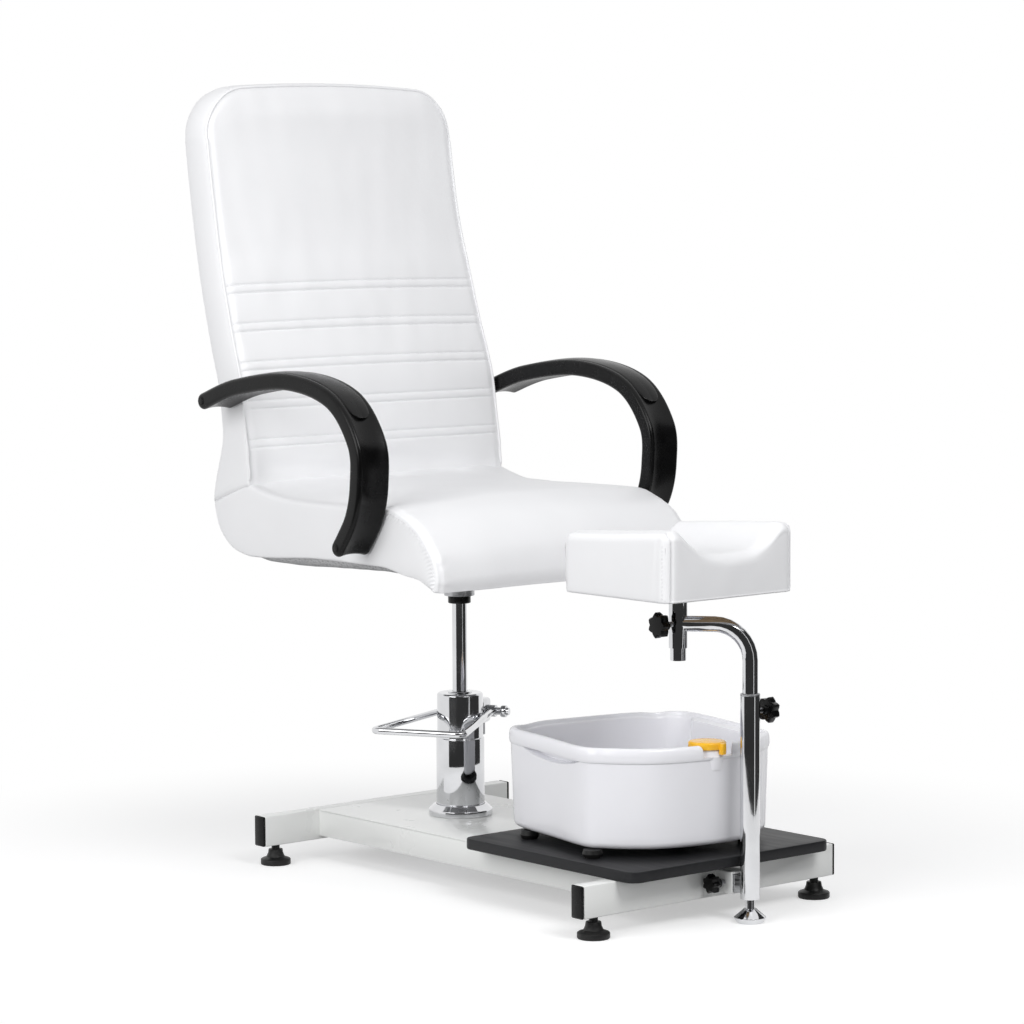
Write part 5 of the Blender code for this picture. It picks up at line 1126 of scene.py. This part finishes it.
# Radius of each ring of a plug and how far it stands out
ARM_PLUG = [(0.0002, 0.0009), (0.0040, 0.0009), (0.0049, 0.0006), (0.0053, -0.0002), (0.0059, -0.0002),
            (0.0063, 0.0007), (0.0070, 0.0004), (0.0073, -0.0008), (0.0073, -0.004), (0.0002, -0.004)]
ARM_PLUG_SIDES = 28


def arm_half_thickness(across):
    """Half thickness of the arm across its width: rounded sides and a slightly hollow middle."""
    middle = ARM_WIDTH / 2 - ARM_SIDE_ROUND
    over = np.clip(np.abs(across) - middle, 0, ARM_SIDE_ROUND)
    side = ARM_THICKNESS / 2 - ARM_SIDE_ROUND + np.sqrt(ARM_SIDE_ROUND ** 2 - over ** 2)
    return side - ARM_HOLLOW * np.clip(1 - (across / middle) ** 2, 0, 1)


def arm_point(hand, place, out, across, rise):
    """A point of an arm from its section: how far across and how far out."""
    across, rise = np.broadcast_arrays(across, rise)
    centre = hand * (ARM_INNER + ARM_WIDTH / 2)
    return np.stack([centre + across, place[0] + out[0] * rise, place[1] + out[1] * rise], -1)


def build_arm(name, hand):
    path = smooth_line(ARM_LINE, ARM_STATIONS)
    along = unit(np.gradient(path, axis=0))
    out = np.stack([along[:, 1], -along[:, 0]], 1)
    across = ARM_WIDTH / 2 * np.sin(np.linspace(-math.pi / 2, math.pi / 2, ARM_SECTION_POINTS))
    half = arm_half_thickness(across)
    section = np.concatenate([np.stack([across, half], 1), np.stack([across[::-1], -half[::-1]], 1)])
    rings = [arm_point(hand, path[k], out[k], section[:, 0], section[:, 1]) for k in range(ARM_STATIONS)]
    for end, step in ((0, -1), (-1, 1)):
        for degrees in ARM_END_TURNS:
            beyond = np.abs(section[:, 1:]) * math.sin(math.radians(degrees))
            thin = section[:, 1] * math.cos(math.radians(degrees))
            ring = arm_point(hand, path[end], out[end], section[:, 0], thin)
            ring[:, 1:] += along[end] * step * beyond
            rings = rings + [ring] if step > 0 else [ring] + rings
    count = len(section)
    faces = grid_faces(len(rings), count, wrap=True)
    for first in (0, (len(rings) - 1) * count):
        faces += [(first + k, first + k + 1, first + count - 2 - k, first + count - 1 - k)
                  for k in range(ARM_SECTION_POINTS - 1)]
    arm = mesh_object(f"arm_{name}", np.concatenate(rings), faces)
    dress(arm, "seat", "black_plastic")
    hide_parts(f"armrest_{name}")
    build_arm_cap(name, hand, path, out)
    build_arm_plugs(name, hand, path, out)


def build_arm_cap(name, hand, path, out):
    """The tongue-shaped cap moulded on top of the arm, from its rear end to a round tip."""
    last = int(ARM_STATIONS * ARM_CAP_END)
    tip = int(ARM_STATIONS * ARM_CAP_TIP)
    stations = [(k, ARM_CAP_HALF_WIDTH) for k in range(1, last - tip)]
    for turn in np.linspace(0, math.pi / 2, ARM_CAP_TIP_STEPS)[1:]:
        half = ARM_CAP_HALF_WIDTH * math.cos(turn) ** ARM_CAP_TIP_POWER
        stations.append((last - tip + tip * math.sin(turn), max(half, ARM_CAP_TIP_LEAST)))
    share = np.linspace(-1, 1, ARM_CAP_COLUMNS)
    sides = share[[-1, 0]] * ARM_CAP_FLARE
    eased = np.zeros(ARM_CAP_COLUMNS)
    eased[[0, -1]] = ARM_CAP_EASE
    sink_length = ARM_CAP_SINK_LENGTH * tip
    index = np.arange(ARM_STATIONS)
    rings = []
    for k, half in stations:
        place = np.array([np.interp(k, index, path[:, j]) for j in range(2)])
        away = unit(np.array([np.interp(k, index, out[:, j]) for j in range(2)]))
        across = share * half
        sink = ARM_CAP_FALL * ease((k - last + sink_length) / sink_length)
        crown = ARM_CAP_CROWN - ARM_CAP_FALL * (across / ARM_CAP_HALF_WIDTH) ** 2
        crown = crown - sink * (1 - np.abs(share)) * ARM_CAP_SINK_SHARE
        top = arm_point(hand, place, away, across, crown - eased)
        shoulder = arm_point(hand, place, away, sides * half, crown[[-1, 0]] - ARM_CAP_SHOULDER)
        base = arm_point(hand, place, away, sides * half, ARM_CAP_BASE)
        rings.append(np.concatenate([top, shoulder[:1], base, shoulder[1:]]))
    cap = tubes_object(f"arm_cap_{name}", [rings])
    dress(cap, "seat", "black_plastic")
    shade_by_angle(cap)


def along_x(corners):
    """Corners of a circle as points round the X axis."""
    return np.column_stack([np.zeros(len(corners)), corners])


def build_arm_plugs(name, hand, path, out):
    """A round plug in the outer side of each end of the arm, over the bolt."""
    corners = along_x(circle(ARM_PLUG_SIDES))
    plugs = []
    for end in (0, -1):
        rings = []
        for radius, height in ARM_PLUG:
            centre = arm_point(hand, path[end], out[end], hand * (ARM_WIDTH / 2 + height), 0.0)
            rings.append(centre + radius * corners)
        plugs.append(rings)
    made = tubes_object(f"arm_plugs_{name}", plugs)
    dress(made, "seat", "black_plastic")
    shade_by_angle(made)


build_arm("right", -1)
build_arm("left", 1)


# Threaded steel shanks between the knobs and the tubes that they clamp
SHANK_RADIUS = 0.0036
SHANK_THREAD = 0.0005
SHANK_PITCH = 0.0013
SHANK_SUNK = 0.0005
SHANK_SIDES = 20
KNOB_LENGTH = 0.021
KNOB_CLEAR = 0.0093


def build_shank(name, hand):
    low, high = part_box(name)
    boss = high.x - KNOB_LENGTH if hand > 0 else low.x + KNOB_LENGTH
    corners = along_x(circle(SHANK_SIDES))
    rings = []
    for reach in np.arange(-SHANK_SUNK, KNOB_CLEAR, SHANK_PITCH / 4):
        crest = SHANK_THREAD * math.cos(reach / SHANK_PITCH * 2 * math.pi)
        centre = np.array([boss - hand * reach, (low.y + high.y) / 2 - SHIFT, (low.z + high.z) / 2])
        rings.append(centre + (SHANK_RADIUS + crest) * corners)
    shank = tubes_object(f"{name}_shank", [rings])
    dress(shank, name, "bare_steel")
    shade_by_angle(shank)


build_shank("column_knob", 1)
build_shank("sleeve_knob", -1)
build_shank("slide_knob", -1)


# Foot bath
TUB_STEPS = 260
TUB_ROUND_STEPS = 6
TUB_LIP_LEVEL = TUB_RIM - TUB_LIP_HEIGHT
# Section at the foot of the lip: out, height above the lip's level and whether the grips press it in
TUB_LIP_SECTION = [(-TUB_LIP, -0.0012, 1), (-TUB_LIP * 0.9, -0.0004, 1), (-TUB_LIP * 0.35, 0.0002, 0),
                   (-0.0003, 0.0012, 0), (0.0004, 0.004, 0), (0.0005, 0.011, 0)]
# Section over the rim: out, depth below the rim and how far the inside shelves push it in
TUB_RIM_SECTION = [(-0.0004, 0.0048, 0), (-0.0018, 0.0018, 0), (-0.0038, 0.0004, 0), (-0.0058, 0, 0),
                   (-0.0078, 0.0006, 0), (-0.0088, 0.0022, 0), (-0.0094, 0.0050, 0), (-0.0100, 0.0062, 0.25),
                   (-0.0106, 0.0066, 0.8), (-0.0112, 0.0072, 1), (-0.0122, 0.0110, 1)]
TUB_INNER, TUB_INNER_DEPTH = TUB_RIM_SECTION[-1][:2]
TUB_INNER_ROWS = 9
# Shelves inside the two sides: how far they stand in, where they begin and how they fade
TUB_SHELF = 0.013
TUB_SHELF_SIDE = 0.120
TUB_SHELF_SIDE_FADE = 0.035
TUB_SHELF_MIDDLE = 0.010
TUB_SHELF_HALF = 0.085
TUB_SHELF_END_FADE = 0.03
TUB_SHELF_FALL = 1.6
# Rows of the wall, from the lip down: those up to the grips, and closer ones where the grips are
TUB_WALL_ROWS = 12
TUB_WALL_ROWS_TO = 0.016
TUB_GRIP_ROWS_FROM = 0.0150
TUB_GRIP_ROWS_TO = 0.0014
TUB_GRIP_ROWS_STEP = 0.0008
# Grips pressed into the two sides under the lip
TUB_GRIP_SIDE = 0.150
TUB_GRIP_SIDE_FADE = 0.010
TUB_GRIP_MIDDLE = 0.012
TUB_GRIP_HALF = 0.080
TUB_GRIP_POWER = 0.8
TUB_GRIP_DEPTH = 0.013
TUB_GRIP_HEIGHT = 0.0115
TUB_GRIP_EDGE = 0.0022
TUB_GRIP_END_RATE = 5
# Rise of the rim to the rear, its dips beside the rear middle, and the height over which both fade out
TUB_RISE_LENGTH = 0.15
TUB_DIP = 0.0030
TUB_DIP_PLACE = 0.118
TUB_DIP_WIDTH = 0.022
TUB_DIP_FROM = 0.10
TUB_DIP_FADE = 0.05
TUB_RISE_FADE = 0.04
DIAL_NOTCH_RADIUS = 0.0365
DIAL_NOTCH_LEVEL = 0.2400
DIAL_NOTCH_ABOVE = 0.05
DISC_SIDES = 64
# Radius and depth of each ring of the console under the dial
CONSOLE_TOP = DIAL_LEVEL - 0.0003
CONSOLE = [(0.0002, 0), (0.0235, 0), (0.0250, 0.0012), (0.0255, 0.004), (0.0262, 0.009), (0.0278, 0.0102),
           (0.0255, 0.030), (0.0002, 0.030)]


def on_bath(points):
    """Points of the bath's own turned frame in the layout frame."""
    cos, sin = math.cos(TUB_YAW), math.sin(TUB_YAW)
    return np.stack([TUB_PLACE[0] + cos * points[:, 0] - sin * points[:, 1],
                     TUB_PLACE[1] + sin * points[:, 0] + cos * points[:, 1], points[:, 2]], 1)


def tub_profile():
    """Rows of the bath's section from the outside bottom over the rim to the inside bottom.

    Each has how far out it lies from the rim's line, its level, whether the grips press it in and how far the
    shelves push it in.
    """
    wall = -TUB_LIP - TUB_DRAFT
    low = TUB_BOTTOM + TUB_ROUND
    turn = np.linspace(0, math.pi / 2, TUB_ROUND_STEPS)
    profile = [(wall - TUB_ROUND + TUB_ROUND * math.sin(a), TUB_BOTTOM + TUB_ROUND * (1 - math.cos(a)), 0, 0)
               for a in turn]
    levels = [*np.linspace(low, TUB_LIP_LEVEL - TUB_WALL_ROWS_TO, TUB_WALL_ROWS)[1:],
              *np.arange(TUB_LIP_LEVEL - TUB_GRIP_ROWS_FROM, TUB_LIP_LEVEL - TUB_GRIP_ROWS_TO,
                         TUB_GRIP_ROWS_STEP)]
    profile += [(wall + TUB_DRAFT * (level - low) / (TUB_LIP_LEVEL - low), level, 1, 0) for level in levels]
    profile += [(out, TUB_LIP_LEVEL + height, gripped, 0) for out, height, gripped in TUB_LIP_SECTION]
    profile += [(out, TUB_RIM - depth, 0, shelved) for out, depth, shelved in TUB_RIM_SECTION]
    inner_top = TUB_RIM - TUB_INNER_DEPTH
    floor = TUB_BOTTOM + TUB_WALL
    for share in np.linspace(0, 1, TUB_INNER_ROWS)[1:]:
        level = inner_top + (floor + TUB_ROUND - inner_top) * share
        profile.append((TUB_INNER - TUB_DRAFT * share, level, 0, 1 - float(ease(share * TUB_SHELF_FALL))))
    for a in turn[1:]:
        profile.append((TUB_INNER - TUB_DRAFT - TUB_ROUND * (1 - math.cos(a)),
                        floor + TUB_ROUND * (1 - math.sin(a)), 0, 0))
    return profile


def build_tub():
    left = [(-x, y) for x, y in reversed(TUB_LINE[1:-1])]
    plan = smooth_line(TUB_LINE + left, TUB_STEPS, closed=True)
    along = unit(np.roll(plan, -1, 0) - np.roll(plan, 1, 0))
    normal = np.stack([along[:, 1], -along[:, 0]], 1)
    side = np.abs(plan[:, 0])
    y = plan[:, 1]
    rise = TUB_REAR_RISE * ease((y - TUB_SIDE_FRONT) / TUB_RISE_LENGTH)
    rise -= TUB_DIP * bell(side - TUB_DIP_PLACE, TUB_DIP_WIDTH) * ease((y - TUB_DIP_FROM) / TUB_DIP_FADE)
    grip = np.clip(1 - ((y - TUB_GRIP_MIDDLE) / TUB_GRIP_HALF) ** 2, 0, 1) ** TUB_GRIP_POWER
    grip *= ease((side - TUB_GRIP_SIDE) / TUB_GRIP_SIDE_FADE)
    shelf = ease(1 - (np.abs(y - TUB_SHELF_MIDDLE) - TUB_SHELF_HALF) / TUB_SHELF_END_FADE)
    shelf *= ease((side - TUB_SHELF_SIDE) / TUB_SHELF_SIDE_FADE)
    rings = []
    for grow, level, gripped, shelved in tub_profile():
        pressed = ease((level - TUB_LIP_LEVEL + TUB_GRIP_HEIGHT * grip) / TUB_GRIP_EDGE)
        pressed = gripped * pressed * np.clip(grip * TUB_GRIP_END_RATE, 0, 1)
        moved = plan + normal * (grow - TUB_GRIP_DEPTH * pressed - TUB_SHELF * shelf * shelved)[:, None]
        lift = rise * ease((level - TUB_RIM + TUB_RISE_FADE) / TUB_RISE_FADE)
        rings.append(on_bath(np.column_stack([moved, level + lift])))
    tub = tubes_object("foot_bath", [rings])
    notch = [(DIAL_NOTCH_RADIUS, DIAL_NOTCH_LEVEL), (DIAL_NOTCH_RADIUS, TUB_RIM + DIAL_NOTCH_ABOVE)]
    cut_away(tub, turned("cutter", notch))
    dress(tub, "bath", "white_plastic")
    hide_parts("bath_tub")
    shade_by_angle(tub)
    console = turned("dial_console", [(radius, CONSOLE_TOP - depth) for radius, depth in CONSOLE])
    dress(console, "bath", "white_plastic")
    shade_by_angle(console)


def turned(name, steps):
    """A turned piece on the dial's axis, from radius and height rows."""
    rings = []
    for radius, level in steps:
        ring = np.array(DIAL_PLACE) + radius * circle(DISC_SIDES)
        rings.append(on_bath(np.column_stack([ring, np.full(DISC_SIDES, level)])))
    return tubes_object(name, [rings])


def cut_away(obj, cutter):
    """Cut a shape out of an object, keep the result as its mesh and remove the cutter."""
    cut = obj.modifiers.new("cut", 'BOOLEAN')
    cut.object = cutter
    cut.operation = 'DIFFERENCE'
    cut.solver = 'EXACT'
    view = bpy.context.evaluated_depsgraph_get()
    mesh = bpy.data.meshes.new_from_object(obj.evaluated_get(view))
    obj.modifiers.clear()
    obj.data = mesh
    bpy.data.objects.remove(cutter)


build_tub()


# Floor, light and camera
FLOOR_RADIUS = 2.2
FLOOR_SIDES = 96
FLOOR_FADE_FROM = 0.55
FLOOR_FADE_TO = 1.25
FLOOR_PALE = (0.70, 0.70, 0.70, 1)
FLOOR_GLOW = 0.42
FLOOR_BOUNCE = (0.36, 0.36, 0.36, 1)
EVEN_COLOUR = (0.98, 0.985, 1.0, 1)
EVEN_STRENGTH = 0.43
# Dark cards in front of the chair that give the chrome its dark bands: the angles each spans, and its height
CARD_RADIUS = 1.4
CARD_FACING = math.atan2(-0.91, -0.38)
CARD_SPANS = [(-78, -46, 0.8), (-46, 28, 1.4), (33, 95, 1.4)]
CARD_COLUMNS = 25
CARD_COLOUR = (0.04, 0.04, 0.04, 1)
# Soft lights: place, the point aimed at, width and height, and power
SOFTBOXES = {"key_light": ((-2.9, -0.5, 1.5), (0, 0, 0.7), (2.0, 2.0), 54),
             "fill_light": ((-0.4, -3.0, 3.0), (0, 0, 0.7), (1.6, 1.6), 63),
             "top_light": ((0.3, 0.2, 3.6), (0, 0, 0.5), (2.4, 2.4), 3)}


def empty_tree(owner):
    owner.use_nodes = True
    owner.node_tree.nodes.clear()
    return owner.node_tree


def seen_rays(tree):
    """1 for rays from the camera, in reflections and through clear pieces, 0 for light on matt surfaces."""
    path = add_node(tree, "ShaderNodeLightPath")
    seen = path.outputs["Is Camera Ray"]
    for kind in ("Is Glossy Ray", "Is Transmission Ray"):
        either = add_node(tree, "ShaderNodeMath", {0: seen, 1: path.outputs[kind]}, operation='MAXIMUM')
        seen = either.outputs[0]
    return seen


def mix_shaders(tree, factor, first, second):
    inputs = {"Fac": factor, 1: first.outputs[0], 2: second.outputs[0]}
    return add_node(tree, "ShaderNodeMixShader", inputs)


def stage_object(name, look_name, points, faces):
    """A piece of the studio and the empty node tree of its material."""
    piece = add_object(name, bpy.data.meshes.new(name))
    piece.data.from_pydata(points, [], faces)
    made = bpy.data.materials.new(look_name)
    piece.data.materials.append(made)
    return piece, empty_tree(made)


def build_floor():
    """A pale floor that holds the shadow near the chair and fades into the white backdrop."""
    corners = [(FLOOR_RADIUS * x, FLOOR_RADIUS * y, 0) for x, y in circle(FLOOR_SIDES)]
    floor, tree = stage_object("floor", "floor_look", corners, [tuple(range(FLOOR_SIDES))])
    matte = add_node(tree, "ShaderNodeBsdfDiffuse", {"Color": FLOOR_PALE})
    glow = add_node(tree, "ShaderNodeEmission", {"Strength": FLOOR_GLOW})
    lit = add_node(tree, "ShaderNodeAddShader", {0: matte.outputs[0], 1: glow.outputs[0]})
    white = add_node(tree, "ShaderNodeEmission")
    place = add_node(tree, "ShaderNodeTexCoord")
    length = add_node(tree, "ShaderNodeVectorMath", {0: place.outputs["Object"]}, operation='LENGTH')
    inputs = {"Value": length.outputs["Value"], "From Min": FLOOR_FADE_FROM, "From Max": FLOOR_FADE_TO}
    fade = add_node(tree, "ShaderNodeMapRange", inputs, interpolation_type='SMOOTHSTEP')
    seen = mix_shaders(tree, fade.outputs["Result"], lit, white)
    bounce = add_node(tree, "ShaderNodeBsdfDiffuse", {"Color": FLOOR_BOUNCE})
    mixed = mix_shaders(tree, seen_rays(tree), bounce, seen)
    add_node(tree, "ShaderNodeOutputMaterial", {"Surface": mixed.outputs[0]})


def build_world():
    """White to the eye and in reflections, and an even light on matt surfaces."""
    world = bpy.data.worlds.new("studio")
    bpy.context.scene.world = world
    tree = empty_tree(world)
    white = add_node(tree, "ShaderNodeBackground", {"Color": (1, 1, 1, 1), "Strength": 1.0})
    even = add_node(tree, "ShaderNodeBackground", {"Color": EVEN_COLOUR, "Strength": EVEN_STRENGTH})
    mixed = mix_shaders(tree, seen_rays(tree), even, white)
    add_node(tree, "ShaderNodeOutputWorld", {"Surface": mixed.outputs[0]})


def build_cards():
    """Dark studio cards round the front, which only reflections show."""
    points = []
    faces = []
    for start, stop, top in CARD_SPANS:
        turn = CARD_FACING + np.radians(np.linspace(start, stop, CARD_COLUMNS))
        faces += grid_faces(2, CARD_COLUMNS, len(points))
        for height in (0.0, top):
            points += [(CARD_RADIUS * math.cos(a), CARD_RADIUS * math.sin(a), height) for a in turn]
    cards, tree = stage_object("dark_cards", "dark_card_look", points, faces)
    grey = add_node(tree, "ShaderNodeEmission", {"Color": CARD_COLOUR})
    add_node(tree, "ShaderNodeOutputMaterial", {"Surface": grey.outputs[0]})
    cards.visible_camera = False
    cards.visible_diffuse = False
    cards.visible_shadow = False
    cards.visible_transmission = False


def add_softbox(name, place, target, size, power):
    light = bpy.data.lights.new(name, 'AREA')
    light.shape = 'RECTANGLE'
    light.size, light.size_y = size
    light.energy = power
    lamp = add_object(name, light)
    lamp.location = place
    lamp.rotation_euler = (Vector(target) - Vector(place)).to_track_quat('-Z', 'Y').to_euler()


def build_camera():
    flat = math.cos(CAMERA_PITCH)
    behind = Vector((math.sin(CAMERA_AZIMUTH) * flat, -math.cos(CAMERA_AZIMUTH) * flat,
                     math.sin(CAMERA_PITCH)))
    level = Vector((math.cos(CAMERA_AZIMUTH), math.sin(CAMERA_AZIMUTH), 0))
    upright = behind.cross(level)
    right = level * math.cos(CAMERA_ROLL) + upright * math.sin(CAMERA_ROLL)
    up = upright * math.cos(CAMERA_ROLL) - level * math.sin(CAMERA_ROLL)
    camera = bpy.data.cameras.new("photo_camera")
    camera.sensor_width = SENSOR_WIDTH
    camera.sensor_fit = 'HORIZONTAL'
    camera.lens = FOCAL_PIXELS * SENSOR_WIDTH / PHOTO_WIDTH
    camera.clip_end = CAMERA_CLIP
    eye = add_object("photo_camera", camera)
    turn = Matrix((right, up, behind)).transposed().to_4x4()
    eye.matrix_world = Matrix.Translation(Vector(CAMERA_PLACE) + Vector((0, SHIFT, 0))) @ turn
    bpy.context.scene.camera = eye


build_floor()
build_world()
build_cards()
for light_name, settings in SOFTBOXES.items():
    add_softbox(light_name, *settings)
build_camera()
bpy.context.scene.view_settings.view_transform = 'Standard'
